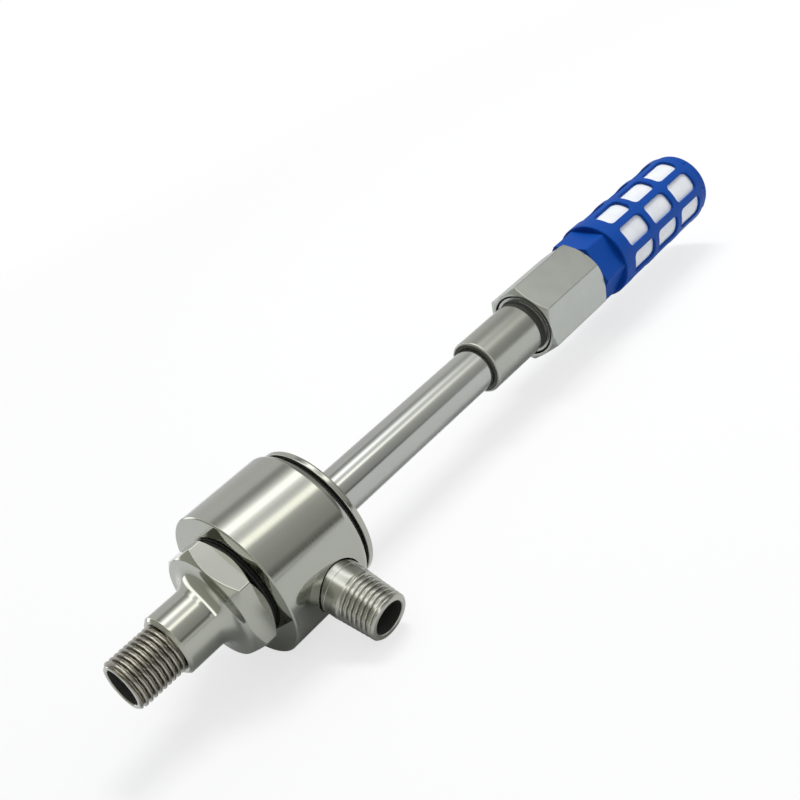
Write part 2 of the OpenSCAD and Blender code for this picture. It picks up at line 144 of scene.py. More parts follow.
# Copies of a section round each piece, by how large it shows
BARREL_STEPS = 240
TUBE_STEPS = 160
NIPPLE_STEPS = 144
SEAL_STEPS = 96
HEX_FLAT_STEPS = 18
VALVE_FLAT_STEPS = 14


def arc_corner(before, corner, after, radius):
    """Points round one corner of a section, with a point held on the straight at each side."""
    corner_at = Vector(corner)
    way_in = Vector(before) - corner_at
    way_out = Vector(after) - corner_at
    room = CORNER_ROOM * min(way_in.length, way_out.length)
    turn = math.pi - way_in.angle(way_out, math.pi)
    if radius <= 0 or turn < 1e-4:
        return [tuple(corner_at)]
    reach = min(radius * math.tan(turn / 2), room)
    radius = reach / math.tan(turn / 2)
    way_in.normalize()
    way_out.normalize()
    middle = corner_at + (way_in + way_out).normalized() * (radius / math.cos(turn / 2))
    start = corner_at + way_in * reach
    side = 1 if way_in.x * way_out.y - way_in.y * way_out.x < 0 else -1
    spoke = start - middle
    hold = min(HOLD, room - reach if room > reach else 0.1 * room)
    points = [tuple(start + way_in * hold)]
    for step in range(ROUND_STEPS + 1):
        angle = side * turn * step / ROUND_STEPS
        turned_spoke = Matrix.Rotation(angle, 2) @ spoke
        points.append(tuple(middle + turned_spoke))
    points.append(tuple(corner_at + way_out * (reach + hold)))
    return points


def rounded(corners, closed=True):
    """Section of a turned piece, from corners of (x, radius, edge radius) in millimetres."""
    points = []
    last = len(corners) - 1
    for i, (x, r, edge) in enumerate(corners):
        if not closed and i in (0, last):
            points.append((x, r))
            continue
        points += arc_corner(corners[i - 1][:2], (x, r), corners[(i + 1) % (last + 1)][:2], edge)
    return points


def even_angles(steps):
    return [2 * math.pi * i / steps for i in range(steps)]


def corner_half_turn(across, corner_r):
    """Half the angle that a hexagon's rounded corner takes up, seen from the axis."""
    out = (across / 2 - corner_r) / math.cos(math.pi / 6)
    return math.pi / 6 - math.atan2(out / 2, across / 2)


def hexagon_angles(first_corner, across, corner_r, over_flat):
    """Angles close together round each corner of a hexagon and even over its flats."""
    half = corner_half_turn(across, corner_r)
    near = [half * share for share in CORNER_SHARES]
    span = math.pi / 3 - 2 * CORNER_SPREAD * half
    flat = [CORNER_SPREAD * half + span * (i + 1) / (over_flat + 1) for i in range(over_flat)]
    return [first_corner + side * math.pi / 3 + a for side in range(6) for a in near + flat]


def hexagon_radius(angle, first_corner, across, corner_r):
    """Distance from the axis to a hexagon with rounded corners, at an angle."""
    off = (angle - first_corner + math.pi / 6) % (math.pi / 3) - math.pi / 6
    half = corner_half_turn(across, corner_r)
    if abs(off) >= half:
        return across / 2 / math.cos(math.pi / 6 - abs(off))
    out = (across / 2 - corner_r) / math.cos(math.pi / 6)
    return out * math.cos(off) + math.sqrt(corner_r ** 2 - (out * math.sin(off)) ** 2)


def turned_mesh(section_at, angles, closed=True):
    """Spins a section about X, then sets each copy to its own angle and its own section.

    A point of a section is (x, r), or (x, r, angle) where it has an angle of its own.
    """
    bm = bmesh.new()
    place = bm.verts.layers.int.new("place")
    start = section_at(angles[0])
    ring = []
    for i, (x, r, *_) in enumerate(start):
        vert = bm.verts.new((x * MM, r * MM, 0))
        vert[place] = i
        ring.append(vert)
    for a, b in zip(ring, ring[1:]):
        bm.edges.new((a, b))
    if closed:
        bm.edges.new((ring[-1], ring[0]))
    steps = len(angles)
    bmesh.ops.spin(bm, geom=bm.verts[:] + bm.edges[:], cent=(0, 0, 0), axis=(1, 0, 0),
                   dvec=(0, 0, 0), angle=2 * math.pi, steps=steps, use_merge=True,
                   use_duplicate=False)
    sections = [section_at(angle) for angle in angles]
    for vert in bm.verts:
        if vert.co.yz.length < ON_AXIS:
            continue
        copy = round(math.atan2(vert.co.z, vert.co.y) / (2 * math.pi / steps)) % steps
        x, r, *own = sections[copy][vert[place]]
        angle = own[0] if own else angles[copy]
        vert.co = (x * MM, r * math.cos(angle) * MM, r * math.sin(angle) * MM)
    bmesh.ops.remove_doubles(bm, verts=bm.verts, dist=SAME_POINT)
    bmesh.ops.recalc_face_normals(bm, faces=bm.faces)
    return bm


def give_zone(bm, index, r_low, r_high, x0, x1):
    """Gives the faces between two radii and two places along X one of the mesh's own materials."""
    for face in bm.faces:
        if all(r_low - CLOSE < vert.co.yz.length / MM < r_high + CLOSE
               and x0 - CLOSE_ALONG < vert.co.x / MM < x1 + CLOSE_ALONG for vert in face.verts):
            face.material_index = index


def finish_mesh(bm, name, *materials):
    """Makes the piece from its mesh, smooth apart from its sharp edges."""
    limit = math.radians(SHARP_ABOVE)
    for face in bm.faces:
        face.smooth = True
    for edge in bm.edges:
        edge.smooth = edge.calc_face_angle(0) < limit
    mesh = bpy.data.meshes.new(name)
    bm.to_mesh(mesh)
    bm.free()
    for material in materials:
        mesh.materials.append(material)
    piece = bpy.data.objects.new(name, mesh)
    bpy.context.scene.collection.objects.link(piece)
    return piece


def stand_for(piece, node, body):
    """The piece takes a CAD node's place on its body, and the node is hidden."""
    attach(piece, body)
    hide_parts(node)


def ridge_height(phase):
    """Height of a thread's ridge, 0 in the valley and 1 on the crest, over one pitch."""
    from_crest = abs(phase % 1 - 0.5)
    share = (CREST_SHARE / 2 + FLANK_SHARE - from_crest) / FLANK_SHARE
    share = min(1, max(0, share))
    return share * share * (3 - 2 * share)


def thread_points(x0, x1, crest_at, depth_at, angle):
    """Section of a right-handed thread between two places, at one angle round its axis."""
    count = round((x1 - x0) / THREAD_PITCH * POINTS_A_PITCH)
    points = []
    for i in range(count + 1):
        x = x0 + (x1 - x0) * i / count
        height = ridge_height((x - x0) / THREAD_PITCH - angle / (2 * math.pi))
        points.append((x, crest_at(x) - depth_at(x) * (1 - height)))
    return points


def smooth_step(low, high, value):
    """A share from 0 at the low value to 1 at the high one, with soft ends."""
    share = min(1, max(0, (value - low) / (high - low)))
    return share * share * (3 - 2 * share)


def linear(hex_colour):
    """An sRGB hex colour as a linear colour with alpha."""
    channels = [int(hex_colour[i:i + 2], 16) / 255 for i in (1, 3, 5)]
    made = [c / 12.92 if c <= 0.04045 else ((c + 0.055) / 1.055) ** 2.4 for c in channels]
    return (*made, 1)


def add(tree, kind, inputs=None, stops=None, **settings):
    """Adds one node. An input is a value, or the output that feeds it; stops are a ramp's colours."""
    made = tree.nodes.new(kind)
    for name, value in settings.items():
        setattr(made, name, value)
    for name, value in (inputs or {}).items():
        if isinstance(value, bpy.types.NodeSocket):
            tree.links.new(value, made.inputs[name])
        else:
            made.inputs[name].default_value = value
    if stops:
        elements = made.color_ramp.elements
        while len(elements) < len(stops):
            elements.new(0.5)
        for element, (position, colour) in zip(elements, stops):
            element.position = position
            element.color = linear(colour)
    return made


def new_material(name):
    """A material with its shader, and the place on the piece that its patterns read."""
    material = bpy.data.materials.new(name)
    material.use_nodes = True
    tree = material.node_tree
    tree.nodes.clear()
    shader = add(tree, "ShaderNodeBsdfPrincipled")
    add(tree, "ShaderNodeOutputMaterial", {"Surface": shader.outputs["BSDF"]})
    place = add(tree, "ShaderNodeTexCoord").outputs["Object"]
    return material, tree, shader, place


# Sizes of the materials' patterns, in millimetres. Real tool marks, mould grain and felt fibres are
# under 0.1 mm and too fine to show, so they are drawn at 0.2 to 0.5 mm.
SMEAR_MM = 9
BLOTCH_MM = 3
DRAWN_LINE_MM = 0.35
CLOUD_MM = 5
GRAIN_MM = 0.5
FLOW_MM = 12
FIBRE_MM = 0.45
LUMP_MM = 3
BLOOM_MM = 2
# How far each wanders: roughness from the tool lines and the smears, and a drawn line's stretch
LINES_SMOOTHER = 0.03
LINES_ROUGHER = 0.05
SMEAR_DULLNESS = 0.05
DRAWN_STRETCH = 25


def distance_from_axis(tree, parts):
    """Distance from the X axis, so that a flat face across it gets rings as well."""
    flat = add(tree, "ShaderNodeCombineXYZ", {"Y": parts.outputs["Y"], "Z": parts.outputs["Z"]})
    return add(tree, "ShaderNodeVectorMath", {0: flat.outputs[0]}, operation="LENGTH").outputs["Value"]


def tool_lines(tree, parts, radius, spacing_mm):
    """Lines that a turning tool leaves: rings along the X axis of the place that comes in."""
    along = add(tree, "ShaderNodeMath", {0: parts.outputs["X"], 1: radius}, operation="ADD")
    return add(tree, "ShaderNodeTexNoise", {"W": along.outputs[0], "Scale": 1 / (spacing_mm * MM),
                                            "Detail": 3.0}, noise_dimensions="1D").outputs["Fac"]


def steel(name, colour, worn_colour, roughness, line_mm, line_depth_mm, place_turn=None,
          valley=None, valley_shade_colour=None):
    """Bright steel with tool lines, faint smears and a roughness that wanders.

    A valley is the radius in mm of a thread's root; towards it the colour is painted darker, as shade in the
    thread's valleys.
    """
    material, tree, shader, place = new_material(name)
    if place_turn is not None:
        moved = add(tree, "ShaderNodeMapping", {0: place}, vector_type="POINT")
        moved.inputs["Location"].default_value = place_turn.to_translation()
        moved.inputs["Rotation"].default_value = place_turn.to_euler("XYZ")
        place = moved.outputs[0]
    parts = add(tree, "ShaderNodeSeparateXYZ", {0: place})
    radius = distance_from_axis(tree, parts)
    lines = tool_lines(tree, parts, radius, line_mm)
    smears = add(tree, "ShaderNodeTexNoise", {"Vector": place, "Scale": 1 / (SMEAR_MM * MM),
                                              "Detail": 4.0, "Roughness": 0.55}).outputs["Fac"]
    tint = add(tree, "ShaderNodeMix", {0: smears, 6: linear(colour), 7: linear(worn_colour)},
               data_type="RGBA").outputs[2]
    # Painted shade: the colour darkens towards the thread's root, in its valleys
    if valley:
        out_of_valley_shade = add(tree, "ShaderNodeMapRange", {"Value": radius, "From Min": valley * MM,
                                                 "From Max": (valley + THREAD_DEPTH) * MM})
        tint = add(tree, "ShaderNodeMix", {0: out_of_valley_shade.outputs[0], 6: linear(valley_shade_colour), 7: tint},
                   data_type="RGBA").outputs[2]
    tree.links.new(tint, shader.inputs["Base Color"])
    shader.inputs["Metallic"].default_value = 1
    rough_lines = add(tree, "ShaderNodeMapRange", {"Value": lines, "From Min": 0.3, "From Max": 0.7,
                                                   "To Min": roughness - LINES_SMOOTHER,
                                                   "To Max": roughness + LINES_ROUGHER})
    rough = add(tree, "ShaderNodeMath", {0: smears, 1: SMEAR_DULLNESS, 2: rough_lines.outputs[0]},
                operation="MULTIPLY_ADD")
    tree.links.new(rough.outputs[0], shader.inputs["Roughness"])
    bump = add(tree, "ShaderNodeBump", {"Strength": 1.0, "Distance": line_depth_mm * MM,
                                        "Height": lines})
    tree.links.new(bump.outputs[0], shader.inputs["Normal"])
    return material


def dull_steel_painted_shade(name, colour, worn_colour):
    """Dull steel, a little blotchy, whose dark colour is painted shade."""
    material, tree, shader, place = new_material(name)
    smears = add(tree, "ShaderNodeTexNoise", {"Vector": place, "Scale": 1 / (BLOTCH_MM * MM),
                                              "Detail": 3.0}).outputs["Fac"]
    tint = add(tree, "ShaderNodeMix", {0: smears, 6: linear(colour), 7: linear(worn_colour)},
               data_type="RGBA").outputs[2]
    tree.links.new(tint, shader.inputs["Base Color"])
    shader.inputs["Metallic"].default_value = 0.3
    shader.inputs["Roughness"].default_value = 0.7
    return material


def nickel():
    """Satin nickel on drawn hexagon bar: soft cloudy reflections and faint lines along the bar."""
    material, tree, shader, place = new_material("satin_nickel_on_drawn_hexagon")
    drawn = add(tree, "ShaderNodeMapping", {0: place})
    drawn.inputs["Scale"].default_value = (1 / DRAWN_STRETCH, 1, 1)
    lines = add(tree, "ShaderNodeTexNoise", {"Vector": drawn.outputs[0], "Detail": 3.0,
                                             "Scale": 1 / (DRAWN_LINE_MM * MM)}).outputs["Fac"]
    clouds = add(tree, "ShaderNodeTexNoise", {"Vector": place, "Scale": 1 / (CLOUD_MM * MM),
                                              "Detail": 3.0}).outputs["Fac"]
    tint = add(tree, "ShaderNodeMix", {0: clouds, 6: linear("#AAADA8"), 7: linear("#B7BAB4")},
               data_type="RGBA").outputs[2]
    tree.links.new(tint, shader.inputs["Base Color"])
    shader.inputs["Metallic"].default_value = 1
    rough = add(tree, "ShaderNodeMapRange", {"Value": clouds, "To Min": 0.28, "To Max": 0.4})
    tree.links.new(rough.outputs[0], shader.inputs["Roughness"])
    bump_lines = add(tree, "ShaderNodeBump", {"Strength": 1.0, "Distance": 0.002 * MM,
                                              "Height": lines})
    bump = add(tree, "ShaderNodeBump", {"Strength": 1.0, "Distance": 0.03 * MM, "Height": clouds,
                                        "Normal": bump_lines.outputs[0]})
    tree.links.new(bump.outputs[0], shader.inputs["Normal"])
    return material


def nylon():
    """Blue moulded nylon: satin, with the mould's spark-eroded grain."""
    material, tree, shader, place = new_material("blue_moulded_nylon")
    grain = add(tree, "ShaderNodeTexNoise", {"Vector": place, "Scale": 1 / (GRAIN_MM * MM),
                                             "Detail": 2.0}).outputs["Fac"]
    flow = add(tree, "ShaderNodeTexNoise", {"Vector": place, "Scale": 1 / (FLOW_MM * MM),
                                            "Detail": 2.0}).outputs["Fac"]
    tint = add(tree, "ShaderNodeMix", {0: flow, 6: linear("#04439A"), 7: linear("#084AA4")},
               data_type="RGBA").outputs[2]
    tree.links.new(tint, shader.inputs["Base Color"])
    rough = add(tree, "ShaderNodeMapRange", {"Value": flow, "To Min": 0.4, "To Max": 0.55})
    tree.links.new(rough.outputs[0], shader.inputs["Roughness"])
    shader.inputs["Specular IOR Level"].default_value = 0.14
    bump = add(tree, "ShaderNodeBump", {"Strength": 1.0, "Distance": 0.012 * MM, "Height": grain})
    tree.links.new(bump.outputs[0], shader.inputs["Normal"])
    return material


def felt():
    """White pressed felt: dull, slightly mottled, with short fibres that catch the light."""
    material, tree, shader, place = new_material("white_pressed_felt")
    fibres = add(tree, "ShaderNodeTexNoise", {"Vector": place, "Scale": 1 / (FIBRE_MM * MM),
                                              "Detail": 5.0, "Distortion": 1.2}).outputs["Fac"]
    lumps = add(tree, "ShaderNodeTexNoise", {"Vector": place, "Scale": 1 / (LUMP_MM * MM),
                                             "Detail": 2.0}).outputs["Fac"]
    tint = add(tree, "ShaderNodeMix", {0: lumps, 6: linear("#E3E7EC"), 7: linear("#F6F7F8")},
               data_type="RGBA").outputs[2]
    tree.links.new(tint, shader.inputs["Base Color"])
    shader.inputs["Roughness"].default_value = 0.95
    shader.inputs["Sheen Weight"].default_value = 0.3
    bump = add(tree, "ShaderNodeBump", {"Strength": 0.8, "Distance": 0.12 * MM, "Height": fibres})
    tree.links.new(bump.outputs[0], shader.inputs["Normal"])
    return material


def rubber():
    """Black nitrile rubber: matt, with a faint bloom."""
    material, tree, shader, place = new_material("black_nitrile_rubber")
    bloom = add(tree, "ShaderNodeTexNoise", {"Vector": place, "Scale": 1 / (BLOOM_MM * MM),
                                             "Detail": 4.0}).outputs["Fac"]
    tint = add(tree, "ShaderNodeMix", {0: bloom, 6: linear("#121212"), 7: linear("#262624")},
               data_type="RGBA").outputs[2]
    tree.links.new(tint, shader.inputs["Base Color"])
    shader.inputs["Roughness"].default_value = 0.7
    return material


# Turned and polished steel mirrors the room, and its fine rings draw the highlights out a little
STEEL_TURNED = steel("turned_stainless_steel", "#A7A9A1", "#AFB0A7", 0.05, 0.3, 0.0002)
# The barrel is the clearest mirror: long even bands of light and dark
STEEL_BARREL = steel("polished_stainless_barrel", "#A6A8A0", "#ADAEA6", 0.05, 0.4, 0.0002)
# Drawn tube is polished along its length, so thin bright streaks run all the way down it
STEEL_TUBE = steel("drawn_polished_tube", "#ABADA9", "#B2B3AF", 0.05, 0.5, 0.0001)
# The sleeve was turned and left satin: its bands are wide and soft
STEEL_SLEEVE = steel("satin_turned_sleeve", "#A4A69F", "#ACADA6", 0.17, 0.3, 0.0003)
# The nipple is satin too, with its rings round its own axis
STEEL_NIPPLE = steel("turned_stainless_nipple", "#A6A79F", "#B0B1A8", 0.2, 0.5, 0.0002,
                     NIPPLE_PLACE.inverted())
# Threads have painted shade in their valleys: dark brown in the cold cap's, faint on the nipple
COLD_THREAD_STEEL = steel("thread_with_painted_valley_shade_on_cold_cap", "#9C9A91", "#A9A79E", 0.2, 0.2, 0.0004,
                          valley=ROOT_R, valley_shade_colour="#7E796E")
TAPER_SPARE = 0.3
INLET_THREAD_STEEL = steel("thread_on_inlet_nipple", "#A6A69E", "#B2B2AA", 0.2, 0.2, 0.0004,
                           NIPPLE_PLACE.inverted(), ROOT_R - TAPER_SPARE, "#A0A098")
# Bores, recesses and the sleeve's relief groove are painted dark as shade, and the faced end of the sleeve is
# painted shade a little lighter
STEEL_PAINTED_SHADE = dull_steel_painted_shade("steel_painted_dark_as_shade", "#363633", "#42423E")
STEEL_FACED_PAINTED_SHADE = dull_steel_painted_shade("faced_sleeve_end_painted_shade", "#52524D", "#62625C")
NICKEL = nickel()
NYLON = nylon()
FELT = felt()
RUBBER = rubber()
# Turned brass of the inner pieces: warm yellow, satin
BRASS = steel("turned_brass", "#D2B56E", "#C4A45C", 0.25, 0.3, 0.0006)

# Cold end cap: pipe thread, neck, flared shoulder and hexagon in one turned piece
COLD_BORE_R = 4.9
COLD_BORE_LEN = 26.0
COLD_THROAT_R = 3.5
MOUTH_R = 6.0
MOUTH_CHAMFER = 0.7
NECK_X = 13.1
NECK_R = 8.0
NECK_CHAMFER = 0.7
FLARE_X = 22.5
FLARE_R = 4.2
CAP_HEX_AF = 28.0
CAP_HEX_X = FLARE_X + FLARE_R
CAP_HEX_CORNER = NIPPLE_ANGLE + math.radians(11)
CAP_HEX_CHAMFER = 1.9
CAP_FACE_R = 13.8
CAP_SPIGOT_R = 12.45
CAP_HEX_EDGE = 0.35
BORE_BREAK = 0.25
LEAD_IN = 0.5
THREAD_END = NECK_X - 0.15
FLARE_STEP = 6


def chamfer_x(radius, across, face_r, depth):
    """How far from a hexagon's face its turned-back corner meets the flat, at a radius."""
    corner = across / 2 / math.cos(math.pi / 6)
    return depth * (radius - face_r) / (corner - face_r)


def cap_section(angle):
    hex_r = hexagon_radius(angle, CAP_HEX_CORNER, CAP_HEX_AF, HEX_CORNER_R)
    cut = chamfer_x(hex_r, CAP_HEX_AF, CAP_FACE_R, CAP_HEX_CHAMFER)

    def crest(x):
        return min(THREAD_R, MOUTH_R + (x - BORE_LIP) * (THREAD_R - MOUTH_R) / MOUTH_CHAMFER)

    def depth(x):
        return max(0, crest(x) - ROOT_R) * smooth_step(0, LEAD_IN, x)

    flare = [(FLARE_X + FLARE_R * math.sin(math.radians(a)),
              NECK_R + FLARE_R * (1 - math.cos(math.radians(a)))) for a in range(FLARE_STEP, 90, FLARE_STEP)]
    front = rounded([(BORE_BREAK, COLD_BORE_R, 0), (0, COLD_BORE_R + BORE_BREAK, BREAK_EDGE),
                     (0, MOUTH_R - BORE_LIP, MOUTH_EDGE), (BORE_LIP, MOUTH_R, 0)], closed=False)[:-1]
    thread = thread_points(BORE_LIP, THREAD_END, crest, depth, angle)
    neck = rounded([(NECK_X, ROOT_R + BREAK_EDGE, 0), (NECK_X, NECK_R - NECK_CHAMFER, EDGE_R),
                    (NECK_X + NECK_CHAMFER, NECK_R, EDGE_R), (FLARE_X, NECK_R, 0)], closed=False)
    hexagon = rounded([(CAP_HEX_X, NECK_R + FLARE_R, 0), (CAP_HEX_X, CAP_FACE_R, EDGE_R),
                       (CAP_HEX_X + cut, hex_r, CAP_HEX_EDGE), (SEAL_X - cut, hex_r, EDGE_R),
                       (SEAL_X, CAP_FACE_R, EDGE_R), (SEAL_X, CAP_SPIGOT_R, 0),
                       (CAP_END, CAP_SPIGOT_R, EDGE_R), (CAP_END, COLD_THROAT_R, EDGE_R),
                       (COLD_BORE_LEN, COLD_BORE_R, 0)], closed=False)
    return front + thread + neck + flare + hexagon


cap_angles = hexagon_angles(CAP_HEX_CORNER, CAP_HEX_AF, HEX_CORNER_R, HEX_FLAT_STEPS)
cap_mesh = turned_mesh(cap_section, cap_angles)
# The cold bore is painted dark as shade; the thread has painted shade in its valleys
give_zone(cap_mesh, 1, 0, COLD_BORE_R, BORE_LIP, CAP_END)
give_zone(cap_mesh, 2, ROOT_R - BELOW_ROOT, THREAD_R, BORE_LIP, NECK_X)
cap = finish_mesh(cap_mesh, "cold_cap_with_thread", STEEL_TURNED, STEEL_PAINTED_SHADE, COLD_THREAD_STEEL)
stand_for(cap, "cold_end_cap", "root")

# Inlet nipple, turned along X and then set on the body
NIPPLE_INNER = 10.87
NIPPLE_SPIGOT_R = 5.45
NIPPLE_SEAT = 17.0
NIPPLE_TIP_R = 5.95
NIPPLE_COLLAR_R = 6.72
NIPPLE_COLLAR_END = 21.0
INLET_BORE_R = 4.35
INLET_THROAT_R = 3.5
INLET_BORE_LEN = 14.5
INLET_THREAD_X = INLET_REACH - 11.3
INLET_LEAD = 0.7
INLET_LEAD_END = 1.5
INLET_MOUTH_SLOPE = 0.8
INLET_THREAD_DEPTH = 0.6


def nipple_section(angle):
    mouth_x = INLET_REACH - BORE_LIP

    def crest(x):
        share = (x - INLET_THREAD_X) / (INLET_REACH - INLET_THREAD_X)
        return min(THREAD_R + (NIPPLE_TIP_R - THREAD_R) * share,
                   INLET_MOUTH_R + (mouth_x - x) * INLET_MOUTH_SLOPE)

    def depth(x):
        run_out = smooth_step(0, 2 * THREAD_PITCH, x - INLET_THREAD_X)
        return INLET_THREAD_DEPTH * run_out * smooth_step(INLET_LEAD, INLET_LEAD_END, INLET_REACH - x)

    base = rounded([(INLET_REACH - INLET_BORE_LEN, INLET_THROAT_R, 0), (NIPPLE_INNER, INLET_THROAT_R, EDGE_R),
                    (NIPPLE_INNER, NIPPLE_SPIGOT_R, EDGE_R), (NIPPLE_SEAT, NIPPLE_SPIGOT_R, 0),
                    (NIPPLE_SEAT, NIPPLE_COLLAR_R, EDGE_R), (NIPPLE_COLLAR_END, NIPPLE_COLLAR_R, BREAK_EDGE),
                    (NIPPLE_COLLAR_END, THREAD_R, FINE_EDGE), (INLET_THREAD_X, THREAD_R, 0)],
                   closed=False)[:-1]
    thread = thread_points(INLET_THREAD_X, mouth_x, crest, depth, angle)
    mouth = rounded([(mouth_x, INLET_MOUTH_R, 0), (INLET_REACH, INLET_MOUTH_R - BORE_LIP, BREAK_EDGE),
                     (INLET_REACH, INLET_BORE_R + BORE_LIP, MOUTH_EDGE), (mouth_x, INLET_BORE_R, 0),
                     (INLET_REACH - INLET_BORE_LEN, INLET_BORE_R, 0)], closed=False)[1:]
    return base + thread + mouth


nipple_mesh = turned_mesh(nipple_section, even_angles(NIPPLE_STEPS))
# The inlet bore is painted dark as shade; the thread has painted shade in its valleys
give_zone(nipple_mesh, 1, 0, INLET_BORE_R, NIPPLE_INNER, INLET_REACH - BORE_LIP)
give_zone(nipple_mesh, 2, NIPPLE_TIP_R - THREAD_DEPTH - BELOW_ROOT, THREAD_R, INLET_THREAD_X,
          INLET_REACH - BORE_LIP)
bmesh.ops.transform(nipple_mesh, matrix=NIPPLE_PLACE, verts=nipple_mesh.verts)
nipple = finish_mesh(nipple_mesh, "inlet_nipple_with_thread", STEEL_NIPPLE, STEEL_PAINTED_SHADE,
                     INLET_THREAD_STEEL)
stand_for(nipple, "inlet_nipple", "root")

# Body: a polished barrel, with a recess round the nipple
BODY_BREAK = 0.3
BODY_REAR_R = 2.0
CAP_SOCKET_R = 12.5
PLENUM_R = 12.0
SOCKET_END = CAP_END
WEB_X = high_mm("swirl_generator")
WEB_END = low_mm("tube_seal")
GLAND_SOCKET_R = 9.5
TUBE_HOLE_R = TUBE_R + 0.05
RECESS_R = 7.03
RECESS_FLOOR = 16.6
NIPPLE_HOLE_R = 5.5
CUTTER_X = NIPPLE_INNER - 0.7
CUTTER_END = 1.3 * BODY_R
CUTTER_STEPS = 72


def body_section(_):
    return rounded([(BODY_X, CAP_SOCKET_R, EDGE_R), (BODY_X, BODY_R - BODY_BREAK, EDGE_R),
                    (BODY_X + BODY_BREAK, BODY_R, EDGE_R), (BODY_END, BODY_R, BODY_REAR_R),
                    (BODY_END, GLAND_SOCKET_R, EDGE_R), (WEB_END, GLAND_SOCKET_R, 0),
                    (WEB_END, TUBE_HOLE_R, 0), (WEB_X, TUBE_HOLE_R, 0), (WEB_X, PLENUM_R, 0),
                    (SOCKET_END, PLENUM_R, 0), (SOCKET_END, CAP_SOCKET_R, 0)])


def recess_cutter(_):
    return [(CUTTER_X, 0), (CUTTER_X, NIPPLE_HOLE_R), (RECESS_FLOOR, NIPPLE_HOLE_R),
            (RECESS_FLOOR, RECESS_R), (CUTTER_END, RECESS_R), (CUTTER_END, 0)]


def cut_by(piece, cutter):
    """The piece's mesh without the cutter's shape. Both objects leave the scene."""
    cut = piece.modifiers.new("cut", "BOOLEAN")
    cut.operation = "DIFFERENCE"
    cut.solver = "EXACT"
    cut.object = cutter
    shaped = piece.evaluated_get(bpy.context.evaluated_depsgraph_get())
    bm = bmesh.new()
    bm.from_mesh(shaped.to_mesh())
    bpy.data.objects.remove(cutter)
    bpy.data.objects.remove(piece)
    return bm


def true_round(piece, x0, x1, radius):
    """Gives the round wall between two places the normals of a true cylinder."""
    mesh = piece.data
    normals = [corner.vector.copy() for corner in mesh.corner_normals]
    for face in mesh.polygons:
        spots = [mesh.vertices[v].co for v in face.vertices]
        if all(abs(spot.yz.length / MM - radius) < CLOSE and x0 < spot.x / MM < x1 for spot in spots):
            for corner, spot in zip(face.loop_indices, spots):
                normals[corner] = Vector((0, spot.y, spot.z)).normalized()
    mesh.normals_split_custom_set(normals)


whole_mesh = turned_mesh(body_section, even_angles(BARREL_STEPS))
whole_barrel = finish_mesh(whole_mesh, "whole_barrel", STEEL_BARREL)
cutter_mesh = turned_mesh(recess_cutter, even_angles(CUTTER_STEPS), closed=False)
bmesh.ops.transform(cutter_mesh, matrix=NIPPLE_PLACE, verts=cutter_mesh.verts)
cut_mesh = cut_by(whole_barrel, finish_mesh(cutter_mesh, "recess_cutter", STEEL_BARREL))
barrel = finish_mesh(cut_mesh, "body_barrel", STEEL_BARREL)
true_round(barrel, BODY_X, BODY_END, BODY_R)
stand_for(barrel, "vortex_body", "root")

# Seals that show: under the cap's hexagon, round the nipple and in the groove behind the body
SEAL_EDGE = 0.25
INLET_SEAL_R = 6.8
GROOVE_FLOOR_R = 10.6


def seal(name, node, x0, x1, r_in, r_out, place=None):
    bm = turned_mesh(lambda _: rounded([(x0, r_in, SEAL_EDGE), (x0, r_out, SEAL_EDGE),
                                        (x1, r_out, SEAL_EDGE), (x1, r_in, SEAL_EDGE)]),
                     even_angles(SEAL_STEPS))
    if place is not None:
        bmesh.ops.transform(bm, matrix=place, verts=bm.verts)
    stand_for(finish_mesh(bm, name, RUBBER), node, "root")


seal("cap_sealing_ring", "cap_seal", SEAL_X, BODY_X, CAP_SOCKET_R, CAP_SEAL_R)
seal("nipple_sealing_ring", "inlet_seal", RECESS_FLOOR, NIPPLE_SEAT, NIPPLE_HOLE_R, INLET_SEAL_R,
     NIPPLE_PLACE)
seal("groove_sealing_ring", "gland_seal", BODY_END, GROOVE_END, GROOVE_FLOOR_R, GLAND_SEAL_R)

# Gland: bright lip behind the body, and the boss that screws in
GLAND_FRONT_R = 0.2
GLAND_REAR_R = 0.5
GLAND_MOUTH_R = 0.3
GLAND_BOSS_R = 9.45


def gland_section(_):
    return rounded([(GLAND_BOSS_X, TUBE_HOLE_R, 0), (GLAND_BOSS_X, GLAND_BOSS_R, EDGE_R),
                    (GROOVE_END, GLAND_BOSS_R, 0), (GROOVE_END, GLAND_R, GLAND_FRONT_R),
                    (GLAND_END, GLAND_R, GLAND_REAR_R), (GLAND_END, TUBE_HOLE_R, GLAND_MOUTH_R)])


gland = finish_mesh(turned_mesh(gland_section, even_angles(BARREL_STEPS)), "gland_lip", STEEL_BARREL)
stand_for(gland, "tube_gland", "root")

# Hot tube and the sleeve on its end
TUBE_BORE_R = 5.15
SLEEVE_FRONT_R = 0.6
RELIEF_X = 147.9
RELIEF_LEN = 2.7
RELIEF_DEPTH = 0.3
RELIEF_FLOOR_EDGE = 0.2
SEAT_DEPTH = 0.8
SEAT_SLOPE = math.radians(35)
SEAT_R = TUBE_BORE_R + SEAT_DEPTH
SEAT_X = SLEEVE_END - SEAT_DEPTH / math.tan(SEAT_SLOPE)


def tube_section(_):
    return rounded([(TUBE_X, TUBE_BORE_R, EDGE_R), (TUBE_X, TUBE_R, EDGE_R),
                    (TUBE_END, TUBE_R, EDGE_R), (TUBE_END, TUBE_BORE_R, EDGE_R)])


